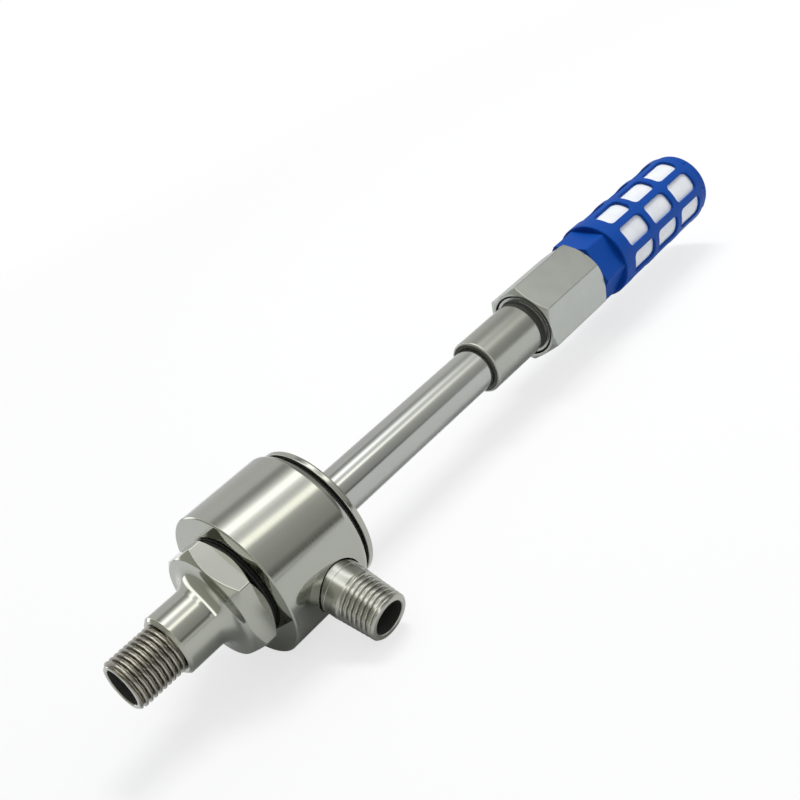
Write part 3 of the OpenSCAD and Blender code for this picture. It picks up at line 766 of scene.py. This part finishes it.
def sleeve_section(_):
    floor_r = SLEEVE_R - RELIEF_DEPTH
    return rounded([(SLEEVE_X, TUBE_HOLE_R, EDGE_R), (SLEEVE_X, SLEEVE_R, SLEEVE_FRONT_R),
                    (RELIEF_X, SLEEVE_R, BREAK_EDGE), (RELIEF_X + RELIEF_DEPTH, floor_r, RELIEF_FLOOR_EDGE),
                    (RELIEF_X + RELIEF_LEN - RELIEF_DEPTH, floor_r, RELIEF_FLOOR_EDGE),
                    (RELIEF_X + RELIEF_LEN, SLEEVE_R, BREAK_EDGE), (SLEEVE_END, SLEEVE_R, EDGE_R),
                    (SLEEVE_END, SEAT_R, 0), (SEAT_X, TUBE_BORE_R, 0), (TUBE_END, TUBE_BORE_R, 0),
                    (TUBE_END, TUBE_HOLE_R, 0)])


tube = finish_mesh(turned_mesh(tube_section, even_angles(TUBE_STEPS)), "hot_tube_polished", STEEL_TUBE)
stand_for(tube, "hot_tube", "root")
sleeve_mesh = turned_mesh(sleeve_section, even_angles(TUBE_STEPS))
# The relief groove is painted dark as shade, standing in for a dark reflection next to the valve
give_zone(sleeve_mesh, 1, SLEEVE_R - RELIEF_DEPTH, SLEEVE_R, RELIEF_X, RELIEF_X + RELIEF_LEN)
# The inner ring of the sleeve's front face is painted dark as shade and dark reflection
give_zone(sleeve_mesh, 2, TUBE_HOLE_R, SLEEVE_R - SLEEVE_FRONT_R, SLEEVE_X, SLEEVE_X + EDGE_R)
sleeve = finish_mesh(sleeve_mesh, "hot_end_sleeve_turned", STEEL_SLEEVE, STEEL_PAINTED_SHADE, STEEL_FACED_PAINTED_SHADE)
stand_for(sleeve, "hot_end_sleeve", "root")

# Hexagonal valve body, milled from bar and bored
VALVE_AF = 21.0
VALVE_CORNER = NIPPLE_ANGLE + math.radians(12)
VALVE_CHAMFER = 1.0
VALVE_FACE_R = 10.35
VALVE_RECESS_R = 9.6
VALVE_RECESS_DEPTH = 1.3
VALVE_LAND_R = 9.1
VALVE_LAND_DEPTH = 0.25
VALVE_BORE_R = SLEEVE_R + 0.08
VALVE_FRONT_EDGE = 0.25
VALVE_REAR_CUT = 1.5
RING_GROOVE = 0.8
RING_CLEARANCE = 0.15
RING_FLOOR_R = high_mm("valve_seal_ring", 2) + RING_CLEARANCE
SHOULDER_LEN = 2.0
SHOULDER_X = SPIDER_X - SHOULDER_LEN
SHOULDER_R = 6.3
SPIGOT_SOCKET_R = 8.3


def valve_section(angle):
    hex_r = hexagon_radius(angle, VALVE_CORNER, VALVE_AF, HEX_CORNER_R)
    cut = chamfer_x(hex_r, VALVE_AF, VALVE_FACE_R, VALVE_CHAMFER)
    recess_x = VALVE_X + VALVE_RECESS_DEPTH
    land_x = VALVE_X + VALVE_LAND_DEPTH
    return rounded([
        (VALVE_X, VALVE_RECESS_R, EDGE_R), (VALVE_X, VALVE_FACE_R, BREAK_EDGE),
        (VALVE_X + cut, hex_r, VALVE_FRONT_EDGE), (VALVE_END - VALVE_REAR_CUT * cut, hex_r, BREAK_EDGE),
        (VALVE_END, VALVE_FACE_R, BREAK_EDGE), (VALVE_END, SPIGOT_SOCKET_R, 0),
        (SPIDER_X, SPIGOT_SOCKET_R, 0), (SPIDER_X, SHOULDER_R, 0), (SHOULDER_X, SHOULDER_R, 0),
        (SHOULDER_X, VALVE_BORE_R, 0), (RING_X + RING_GROOVE, VALVE_BORE_R, 0),
        (RING_X + RING_GROOVE, RING_FLOOR_R, 0), (RING_X - RING_GROOVE, RING_FLOOR_R, 0),
        (RING_X - RING_GROOVE, VALVE_BORE_R, 0), (land_x, VALVE_BORE_R, BREAK_EDGE),
        (land_x, VALVE_LAND_R, BREAK_EDGE), (recess_x, VALVE_LAND_R, FINE_EDGE),
        (recess_x, VALVE_RECESS_R, FINE_EDGE)])


valve_angles = hexagon_angles(VALVE_CORNER, VALVE_AF, HEX_CORNER_R, VALVE_FLAT_STEPS)
valve_mesh = turned_mesh(valve_section, valve_angles)
# The valve's front recess is painted dark as shade
give_zone(valve_mesh, 1, VALVE_LAND_R, VALVE_RECESS_R, VALVE_X + VALVE_LAND_DEPTH,
          VALVE_X + VALVE_RECESS_DEPTH)
valve = finish_mesh(valve_mesh, "hexagonal_valve_body", NICKEL, STEEL_PAINTED_SHADE)
stand_for(valve, "hex_valve_body", "valve")

# Silencer: one moulding with a wrench hexagon and a cage of windows, felt inside and an end plate
WRENCH_AF = 20.0
WRENCH_LEN = 9.8
WRENCH_END = VALVE_END + WRENCH_LEN
WRENCH_CORNER = NIPPLE_ANGLE - math.radians(16)
WRENCH_CORNER_R = 1.0
WRENCH_CHAMFER = 0.5
WRENCH_FACE_R = 9.9
SPIGOT_R = 8.25
SPIGOT_BORE_R = 5.5
CAGE_FLOOR = 2.0
CAGE_FLOOR_X = WRENCH_END + CAGE_FLOOR
CAGE_END_R = 11.8
CAGE_ROUND = 0.8
CAGE_ROUND_SHARES = (0.2, 0.4, 0.6, 0.8, 1)
CAGE_IN_R = 11.0
SHOULDER_EDGE = 0.4
# Windows, each in a tile of the wall, and the rounding of their rims
WINDOW_COLUMNS = 8
WINDOW_ROWS = 3
WINDOW_PITCH = 14.0
WINDOW_LEN = 11.5
WINDOW_W = 7.1
WINDOW_CORNER_R = 1.7
WINDOW_RIM = 0.18
RIM_STEPS = 3
RIM_HOLD = 0.4
RIM_FROM_BASE = 0.1
RIM_BEND = 1.0
WINDOW_ANGLE = NIPPLE_ANGLE - math.radians(4)
FIRST_WINDOW = CAGE_FLOOR_X + (PLATE_X - CAGE_FLOOR_X - (WINDOW_ROWS - 1) * WINDOW_PITCH) / 2
CAGE_X = FIRST_WINDOW - WINDOW_PITCH / 2
CAGE_BAND = FIRST_WINDOW + (WINDOW_ROWS - 0.5) * WINDOW_PITCH
# Slots near the end, which the end plate's lugs snap into
SLOTS = 4
SLOT_LEN = 1.5
SLOT_W = 7.5
SLOT_MIDDLE = SILENCER_END - 2.4
SLOT_LOW = SLOT_MIDDLE - SLOT_LEN / 2
SLOT_HIGH = SLOT_MIDDLE + SLOT_LEN / 2
SLOT_HOLD = 0.3
# The wall while it lies flat, its points round the tube, and the wrench base's points that meet them
FLAT_WALL = 1.0
JOIN = 0.002
TILE_W = 2 * math.pi * SILENCER_R / WINDOW_COLUMNS
TILE_STEPS = 12
CORNER_STEPS = 2
RING_STEPS = WINDOW_COLUMNS * TILE_STEPS
RING_START = WINDOW_ANGLE - math.pi / WINDOW_COLUMNS
RING_ANGLES = [RING_START + angle for angle in even_angles(RING_STEPS)]
WRENCH_FLAT_STEPS = RING_STEPS // 6 - len(CORNER_SHARES)
WRENCH_ANGLES = hexagon_angles(WRENCH_CORNER, WRENCH_AF, WRENCH_CORNER_R, WRENCH_FLAT_STEPS)
RING_ANGLE_OF = dict(zip(WRENCH_ANGLES, RING_ANGLES))


def cage_radius(x):
    """Outside radius of the cage, which tapers a little to its end."""
    share = (x - WRENCH_END) / (SILENCER_END - WRENCH_END)
    return SILENCER_R + (CAGE_END_R - SILENCER_R) * share


def wrench_section(angle):
    """The hexagon, then the shoulder out to the cage, whose points stand at the cage's own angles."""
    flat_r = hexagon_radius(angle, WRENCH_CORNER, WRENCH_AF, WRENCH_CORNER_R)
    cut = chamfer_x(flat_r, WRENCH_AF, WRENCH_FACE_R, WRENCH_CHAMFER)
    ring_angle = RING_ANGLE_OF[angle]
    inside = [(CAGE_X, CAGE_IN_R, ring_angle), (CAGE_FLOOR_X, CAGE_IN_R, ring_angle)]
    hexagon = rounded([(CAGE_FLOOR_X, SPIGOT_BORE_R, 0), (SPIGOT_X, SPIGOT_BORE_R, 0),
                       (SPIGOT_X, SPIGOT_R, 0), (VALVE_END, SPIGOT_R, 0), (VALVE_END, WRENCH_FACE_R, 0),
                       (VALVE_END + cut, flat_r, BREAK_EDGE), (WRENCH_END, flat_r, EDGE_R),
                       (WRENCH_END, SILENCER_R, 0)], closed=False)[:-1]
    shoulder = rounded([(WRENCH_END, SPIGOT_R, 0), (WRENCH_END, SILENCER_R, SHOULDER_EDGE),
                        (CAGE_X, cage_radius(CAGE_X), 0)], closed=False)[1:]
    return inside + hexagon + [(x, r, ring_angle) for x, r in shoulder]


def box_point(i, half_w, half_l, corner_r):
    """Point i of a box with round corners, from the middle of its +length side."""
    side, step = divmod(i + TILE_STEPS // 2, TILE_STEPS)
    a, b = (half_l, half_w) if side % 2 == 1 else (half_w, half_l)
    into_corner = max(0, CORNER_STEPS - step) - max(0, step - TILE_STEPS + CORNER_STEPS)
    bend = math.radians(45) * into_corner / CORNER_STEPS
    share = min(1, max(-1, (2 * step - TILE_STEPS) / (TILE_STEPS - 2 * CORNER_STEPS)))
    across = share * (a - corner_r) - corner_r * math.sin(bend)
    out = b - corner_r + corner_r * math.cos(bend)
    return Matrix.Rotation(-side * math.pi / 2, 2) @ Vector((across, out))


def border_point(i):
    """Point i of the tile's own border, evenly spaced along each side."""
    side, step = divmod(i + TILE_STEPS // 2, TILE_STEPS)
    a, b = (WINDOW_PITCH / 2, TILE_W / 2) if side % 2 == 1 else (TILE_W / 2, WINDOW_PITCH / 2)
    return Matrix.Rotation(-side * math.pi / 2, 2) @ Vector((a * (2 * step / TILE_STEPS - 1), b))


def loop_of(bm, point_at):
    """A closed loop of edges through the points, flat."""
    made = bmesh.ops.create_circle(bm, cap_ends=False, segments=4 * TILE_STEPS, radius=1)["verts"]
    for i, vert in enumerate(made):
        flat = point_at(i)
        vert.co = (flat.x, flat.y, 0)
    return list({edge for vert in made for edge in vert.link_edges})


def window_tile(bm):
    """One window in its tile, flat, with a ring of faces held close to the rim."""
    rim = loop_of(bm, lambda i: box_point(i, WINDOW_W / 2, WINDOW_LEN / 2, WINDOW_CORNER_R))
    held = loop_of(bm, lambda i: box_point(i, WINDOW_W / 2 + RIM_HOLD, WINDOW_LEN / 2 + RIM_HOLD,
                                           WINDOW_CORNER_R + RIM_HOLD))
    border = loop_of(bm, border_point)
    bmesh.ops.bridge_loops(bm, edges=rim + held)
    bmesh.ops.bridge_loops(bm, edges=held + border)


def slot_off(x_flat):
    """How far a place across the flat wall is from the middle of the nearest end slot."""
    spacing = TILE_W * WINDOW_COLUMNS / SLOTS
    return (x_flat - TILE_W / 2 + spacing / 2) % spacing - spacing / 2


def cut_slots(bm):
    """Opens the end slots in the flat wall, at their own width."""
    step = TILE_W / TILE_STEPS
    half_w = SLOT_W / 2 * SILENCER_R / cage_radius(SLOT_MIDDLE)
    edge_column = (TILE_STEPS // 2 - 1) * step
    slot_faces = []
    for face in bm.faces:
        middle = face.calc_center_median()
        if SLOT_LOW < middle.y < SLOT_HIGH and abs(slot_off(middle.x)) < edge_column:
            slot_faces.append(face)
    bmesh.ops.delete(bm, geom=slot_faces, context="FACES")
    for vert in bm.verts:
        off = slot_off(vert.co.x)
        in_row = SLOT_LOW - CLOSE < vert.co.y < SLOT_HIGH + CLOSE
        if in_row and abs(abs(off) - edge_column) < CLOSE:
            vert.co.x += math.copysign(half_w, off) - off


def flat_cage():
    """The cage's wall laid out flat: across is the way round, up is the way along the tube."""
    bm = bmesh.new()
    window_tile(bm)
    tile = bm.verts[:] + bm.edges[:] + bm.faces[:]
    for column in range(WINDOW_COLUMNS):
        for row in range(WINDOW_ROWS):
            copy = bmesh.ops.duplicate(bm, geom=tile)["geom"]
            verts = [g for g in copy if isinstance(g, bmesh.types.BMVert)]
            bmesh.ops.translate(bm, verts=verts, vec=((column + 0.5) * TILE_W,
                                                      FIRST_WINDOW + row * WINDOW_PITCH, 0))
    bmesh.ops.delete(bm, geom=[g for g in tile if isinstance(g, bmesh.types.BMVert)], context="VERTS")
    bmesh.ops.remove_doubles(bm, verts=bm.verts, dist=JOIN)
    top = [e for e in bm.edges if e.is_boundary
           and all(abs(v.co.y - CAGE_BAND) < CLOSE for v in e.verts)]
    rows = [SLOT_LOW - SLOT_HOLD, SLOT_LOW, SLOT_HIGH, SILENCER_END - CAGE_ROUND]
    rows += [SILENCER_END - CAGE_ROUND * (1 - share) for share in CAGE_ROUND_SHARES]
    for level in rows:
        made = bmesh.ops.extrude_edge_only(bm, edges=top)["geom"]
        verts = [g for g in made if isinstance(g, bmesh.types.BMVert)]
        for vert in verts:
            vert.co.y = level
        top = [g for g in made if isinstance(g, bmesh.types.BMEdge)
               and all(abs(v.co.y - level) < SAME_LEVEL for v in g.verts)]
    cut_slots(bm)
    return bm


def roll(flat, outer):
    """A point of the flat wall in its place round the tube's axis."""
    angle = RING_START + flat.x / TILE_W * 2 * math.pi / WINDOW_COLUMNS
    x = flat.y
    r = cage_radius(x) if outer else CAGE_IN_R
    round_x = SILENCER_END - CAGE_ROUND
    if outer and x > round_x + SAME_LEVEL:
        turn = (x - round_x) / CAGE_ROUND * math.pi / 2
        r = CAGE_END_R - CAGE_ROUND * (1 - math.cos(turn))
        x = round_x + CAGE_ROUND * math.sin(turn)
    return Vector((x, r * math.cos(angle), r * math.sin(angle))) * MM


def silencer_cage():
    """The flat wall is given its thickness and its window rims, rolled up, and joined to the base."""
    bm = flat_cage()
    bmesh.ops.recalc_face_normals(bm, faces=bm.faces)
    if sum(face.normal.z for face in bm.faces) < 0:
        bmesh.ops.reverse_faces(bm, faces=bm.faces)
    width = TILE_W * WINDOW_COLUMNS
    bmesh.ops.solidify(bm, geom=bm.faces[:], thickness=FLAT_WALL)
    top = max(vert.co.z for vert in bm.verts)
    bottom = min(vert.co.z for vert in bm.verts)
    joined = [f for f in bm.faces if all(abs(v.co.x) < CLOSE for v in f.verts)
              or all(abs(v.co.x - width) < CLOSE for v in f.verts)
              or all(abs(v.co.y - CAGE_X) < CLOSE for v in f.verts)]
    bmesh.ops.delete(bm, geom=joined, context="FACES")
    rims = []
    for edge in bm.edges:
        on_top = all(abs(vert.co.z - top) < CLOSE for vert in edge.verts)
        inside = all(CAGE_X + RIM_FROM_BASE < vert.co.y < SILENCER_END - CAGE_ROUND for vert in edge.verts)
        if on_top and inside and edge.calc_face_angle(0) > RIM_BEND:
            rims.append(edge)
    bmesh.ops.bevel(bm, geom=rims, offset=WINDOW_RIM, offset_type="OFFSET", segments=RIM_STEPS, profile=0.5,
                    affect="EDGES", clamp_overlap=True, material=-1)
    for vert in bm.verts:
        share = (top - vert.co.z) / (top - bottom)
        vert.co = roll(vert.co, True).lerp(roll(vert.co, False), share)
    base = turned_mesh(wrench_section, WRENCH_ANGLES, closed=False)
    base_mesh = bpy.data.meshes.new("wrench_base")
    base.to_mesh(base_mesh)
    base.free()
    bm.from_mesh(base_mesh)
    bpy.data.meshes.remove(base_mesh)
    bmesh.ops.remove_doubles(bm, verts=bm.verts, dist=JOIN * MM)
    bmesh.ops.recalc_face_normals(bm, faces=bm.faces)
    return bm


cage = finish_mesh(silencer_cage(), "silencer_cage_moulded", NYLON)
stand_for(cage, "muffler_cage", "valve")

CAGE_PLAY = 0.05
FELT_OUT_R = CAGE_IN_R - CAGE_PLAY
FELT_IN_R = FELT_OUT_R - 3.0
FELT_EDGE = 0.3


def felt_section(_):
    return rounded([(FELT_X, FELT_IN_R, FELT_EDGE), (FELT_X, FELT_OUT_R, FELT_EDGE),
                    (FELT_END, FELT_OUT_R, FELT_EDGE), (FELT_END, FELT_IN_R, FELT_EDGE)])


felt_tube = finish_mesh(turned_mesh(felt_section, even_angles(SEAL_STEPS)), "felt_tube", FELT)
stand_for(felt_tube, "muffler_felt", "valve")

PLATE_R = CAGE_IN_R - CAGE_PLAY
PLATE_BREAK = 0.3
LUG_OUT = 11.5
LUG_GAP = 0.1
LUG_HALF = math.asin((SLOT_W / 2 - LUG_GAP) / LUG_OUT)
LUG_SIDE = math.radians(0.2)
LUG_LOW = SLOT_LOW + LUG_GAP
LUG_HIGH = SLOT_HIGH - LUG_GAP
BETWEEN_LUGS = 14


def plate_angles():
    """Angles round the end plate, close together at the sides of each lug."""
    over_lug = [LUG_HALF * share for share in (-1, -0.75, -0.5, -0.25, 0, 0.25, 0.5, 0.75, 1)]
    gap = 2 * math.pi / SLOTS - 2 * (LUG_HALF + LUG_SIDE)
    between = [LUG_HALF + LUG_SIDE + gap * i / BETWEEN_LUGS for i in range(BETWEEN_LUGS + 1)]
    return [WINDOW_ANGLE + k * 2 * math.pi / SLOTS + a for k in range(SLOTS) for a in over_lug + between]


def end_plate_section(angle):
    quarter = 2 * math.pi / SLOTS
    off = (angle - WINDOW_ANGLE + quarter / 2) % quarter - quarter / 2
    out = LUG_OUT if abs(off) < LUG_HALF + LUG_SIDE / 2 else PLATE_R
    return [(PLATE_X, 0), (PLATE_X, PLATE_R), (LUG_LOW, PLATE_R), (LUG_LOW, out), (LUG_HIGH, out),
            (LUG_HIGH, PLATE_R), (SILENCER_END - PLATE_BREAK, PLATE_R),
            (SILENCER_END, PLATE_R - PLATE_BREAK), (SILENCER_END, 0)]


plate_mesh = turned_mesh(end_plate_section, plate_angles(), closed=False)
end_plate = finish_mesh(plate_mesh, "silencer_end_plate", NYLON)
stand_for(end_plate, "muffler_end_cap", "valve")

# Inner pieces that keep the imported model's own meshes
INNER_FINISH = {
    "orifice_seal": RUBBER, "cold_orifice_plate": BRASS, "swirl_generator": BRASS,
    "tube_seal": RUBBER, "flow_straightener": BRASS, "valve_seal_ring": RUBBER,
    "valve_spider": BRASS, "valve_cone": BRASS, "cone_lock_nut": BRASS,
}
for node_name, material in INNER_FINISH.items():
    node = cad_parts[node_name]
    node.data.materials.clear()
    node.data.materials.append(material)

# Studio: a white table, two soft lamps overhead, and a pale room with long soft lights over the tube
TABLE_Z = CAD_BOX[0][2]
MIDDLE = (Vector(CAD_BOX[0]) + Vector(CAD_BOX[1])) / 2
# In metres: the table's side, its gap under the object, and where it starts and ends to turn white
TABLE_SIZE = 6.0
TABLE_GAP = 0.00005
NEAR_EDGE = 0.15
FAR_EDGE = 0.7
NEAR_WHITE = 0.72


def white_table():
    """White laminate. To the camera it is lifted to white, most of all away from the object."""
    material, tree, shader, place = new_material("white_laminate_table")
    shader.inputs["Base Color"].default_value = linear("#F4F4F3")
    shader.inputs["Roughness"].default_value = 0.9
    shader.inputs["Specular IOR Level"].default_value = 0.2
    middle = add(tree, "ShaderNodeVectorMath", {0: place, 1: MIDDLE}, operation="DISTANCE")
    lift = add(tree, "ShaderNodeMapRange", {"Value": middle.outputs["Value"], "From Min": NEAR_EDGE,
                                            "From Max": FAR_EDGE, "To Min": NEAR_WHITE, "To Max": 1.0})
    camera_ray = add(tree, "ShaderNodeLightPath").outputs["Is Camera Ray"]
    share = add(tree, "ShaderNodeMath", {0: lift.outputs[0], 1: camera_ray}, operation="MULTIPLY")
    white = add(tree, "ShaderNodeEmission", {"Color": (1, 1, 1, 1), "Strength": 1.0})
    mixed = add(tree, "ShaderNodeMixShader", {0: share.outputs[0], 1: shader.outputs["BSDF"],
                                              2: white.outputs[0]})
    output = next(node for node in tree.nodes if node.type == "OUTPUT_MATERIAL")
    tree.links.new(mixed.outputs[0], output.inputs["Surface"])
    bm = bmesh.new()
    bmesh.ops.create_grid(bm, x_segments=1, y_segments=1, size=TABLE_SIZE / 2)
    bmesh.ops.translate(bm, verts=bm.verts, vec=(MIDDLE.x, MIDDLE.y, TABLE_Z - TABLE_GAP))
    finish_mesh(bm, "table", material)


white_table()


def soft_lamp(name, azimuth, elevation, distance, size, radiance, colour):
    """A soft rectangular lamp that points at the object. The metal mirrors the room's own lights."""
    lamp = bpy.data.lights.new(name, "AREA")
    lamp.shape = "RECTANGLE"
    lamp.size, lamp.size_y = size
    lamp.energy = radiance * math.pi * size[0] * size[1]
    lamp.color = linear(colour)[:3]
    made = bpy.data.objects.new(name, lamp)
    a, e = math.radians(azimuth), math.radians(elevation)
    way = Vector((math.cos(a) * math.cos(e), math.sin(a) * math.cos(e), math.sin(e)))
    made.location = MIDDLE + way * distance
    made.rotation_mode = "QUATERNION"
    made.rotation_quaternion = way.to_track_quat("Z", "Y")
    made.visible_glossy = False
    bpy.context.scene.collection.objects.link(made)


soft_lamp("overhead_lamp", 8, 68, 0.8, (0.42, 0.16), 17.0, "#FFFFFF")
soft_lamp("front_lamp", -45, 53, 0.8, (0.3, 0.16), 1.2, "#FFF6EA")

# What the metal mirrors, by the angle round the tube's axis from the far horizon over the top to the near
# one: pale wall, a dark gap, the overhead light, a second light, the dimmer near wall, the table's dark edge
MIRRORED = [(0, "#929292"), (30, "#959595"), (44, "#9A9A9A"), (54, "#989898"), (61, "#7A7A7A"),
            (67, "#787878"), (73, "#989898"), (79, "#C4C4C4"), (84, "#FAFAFA"), (92, "#FFFFFF"),
            (97, "#CACACA"), (104, "#ACACAC"), (110, "#B8B8B8"), (116, "#F4F2EC"), (121, "#F2F0EA"),
            (127, "#9A9A98"), (135, "#888886"), (150, "#7C7C7A"), (163, "#747472"), (169, "#5C5C5A"),
            (174, "#50504E"), (178, "#868684"), (180, "#969694")]
# What it mirrors past the ends of the lights, far off along the tube. The one gives way to the other
# between these shares of +X.
MIRRORED_FAR = [(0, "#969694"), (40, "#9C9C9A"), (62, "#8E8E8C"), (80, "#90908E"), (99, "#A0A09E"),
                (119, "#B4B4B0"), (130, "#ACACA8"), (140, "#90908E"), (160, "#7E7E7C"), (172, "#7E7E7C"),
                (180, "#969694")]
LIGHTS_END = 0.48
LIGHTS_GONE = 0.62
# The room's far end is dimmer still, between these shares of +X
FAR_DIMMER = 0.5
DIM_FROM = 0.6
DIM_TO = 0.7
# The lights lie a little askew over the tube, by these angles in degrees at two shares of +X
SLANT_LOW = -11
SLANT_HIGH = 4
SLANT_FROM = 0.2
SLANT_TO = 0.45
# And towards the cold end: a bright light across the tube, then the plain side wall, by the share of -X
MIRRORED_SIDE = [(0.2, "#F4F4F4"), (0.33, "#F4F4F4"), (0.42, "#7C7C76"), (0.6, "#7A7A74"),
                 (0.9, "#74746E"), (1.0, "#A0A09A")]
SIDE_FROM = -0.12
SIDE_FULL = -0.2
MIRRORED_STRENGTH = 2.6
# Matt surfaces are lit by a room that is brightest up and away, and dim low down and near
ROOM_LOW = "#3A3E42"
ROOM_HIGH = "#FAFCFF"
BRIGHT_WAY = (0.5, -0.15, 0.85)

world = bpy.data.worlds.new("studio")
world.use_nodes = True
bpy.context.scene.world = world
sky = world.node_tree
sky.nodes.clear()
place_in_room = add(sky, "ShaderNodeTexCoord")
way = add(sky, "ShaderNodeSeparateXYZ", {0: place_in_room.outputs["Generated"]})
around = add(sky, "ShaderNodeMath", {0: way.outputs["Z"], 1: way.outputs["Y"]}, operation="ARCTAN2")
half_turn = add(sky, "ShaderNodeMath", {0: around.outputs[0], 1: math.pi}, operation="DIVIDE")
slant = add(sky, "ShaderNodeMapRange", {"Value": way.outputs["X"], "From Min": SLANT_FROM,
                                        "From Max": SLANT_TO, "To Min": SLANT_LOW / 180,
                                        "To Max": SLANT_HIGH / 180})
slanted = add(sky, "ShaderNodeMath", {0: half_turn.outputs[0], 1: slant.outputs[0]}, operation="SUBTRACT")
near = add(sky, "ShaderNodeValToRGB", {0: slanted.outputs[0]},
           stops=[(angle / 180, colour) for angle, colour in MIRRORED])
far = add(sky, "ShaderNodeValToRGB", {0: half_turn.outputs[0]},
          stops=[(angle / 180, colour) for angle, colour in MIRRORED_FAR])
past_lights = add(sky, "ShaderNodeMapRange", {"Value": way.outputs["X"], "From Min": LIGHTS_END,
                                              "From Max": LIGHTS_GONE})
along = add(sky, "ShaderNodeMix", {0: past_lights.outputs[0], 6: near.outputs[0], 7: far.outputs[0]},
            data_type="RGBA")
to_side = add(sky, "ShaderNodeMapRange", {"Value": way.outputs["X"], "From Min": SIDE_FROM,
                                          "From Max": SIDE_FULL})
towards_cold_end = add(sky, "ShaderNodeMath", {0: way.outputs["X"], 1: -1.0}, operation="MULTIPLY")
side = add(sky, "ShaderNodeValToRGB", {0: towards_cold_end.outputs[0]}, stops=MIRRORED_SIDE)
mirrored = add(sky, "ShaderNodeMix", {0: to_side.outputs[0], 6: along.outputs[2], 7: side.outputs[0]},
               data_type="RGBA")
strength = add(sky, "ShaderNodeMapRange", {"Value": way.outputs["X"], "From Min": DIM_FROM,
                                           "From Max": DIM_TO, "To Min": MIRRORED_STRENGTH,
                                           "To Max": FAR_DIMMER * MIRRORED_STRENGTH})
mirrored_glow = add(sky, "ShaderNodeBackground", {"Color": mirrored.outputs[2],
                                                  "Strength": strength.outputs[0]})
bright_way = add(sky, "ShaderNodeVectorMath", {0: place_in_room.outputs["Generated"], 1: BRIGHT_WAY},
                 operation="DOT_PRODUCT")
room = add(sky, "ShaderNodeValToRGB", {0: bright_way.outputs["Value"]}, stops=[(0, ROOM_LOW), (1, ROOM_HIGH)])
room_glow = add(sky, "ShaderNodeBackground", {"Color": room.outputs[0], "Strength": 1.0})
white_glow = add(sky, "ShaderNodeBackground", {"Color": (1, 1, 1, 1), "Strength": 1.0})
rays = add(sky, "ShaderNodeLightPath")
lit = add(sky, "ShaderNodeMixShader", {0: rays.outputs["Is Glossy Ray"], 1: room_glow.outputs[0],
                                       2: mirrored_glow.outputs[0]})
shown = add(sky, "ShaderNodeMixShader", {0: rays.outputs["Is Camera Ray"], 1: lit.outputs[0],
                                         2: white_glow.outputs[0]})
add(sky, "ShaderNodeOutputWorld", {"Surface": shown.outputs[0]})

# Camera: where the photograph was taken from, in millimetres, and how it was held
CAMERA_AT = Vector((-56.4, -217.8, 125.5))
CAMERA_WAY = Vector((0.5342, 0.7442, -0.4009))
CAMERA_ROLL = math.radians(-25.2)
CAMERA_LENS = 50.4
camera_data = bpy.data.cameras.new("camera")
camera_data.lens = CAMERA_LENS
camera_data.sensor_width = 36.0
camera_data.clip_start = 0.01
camera_data.clip_end = 20.0
camera = bpy.data.objects.new("camera", camera_data)
camera.matrix_world = (Matrix.Translation(CAMERA_AT * MM)
                       @ CAMERA_WAY.to_track_quat("-Z", "Y").to_matrix().to_4x4()
                       @ Matrix.Rotation(CAMERA_ROLL, 4, "Z"))
bpy.context.scene.collection.objects.link(camera)
bpy.context.scene.camera = camera
bpy.context.scene.view_settings.view_transform = "Standard"
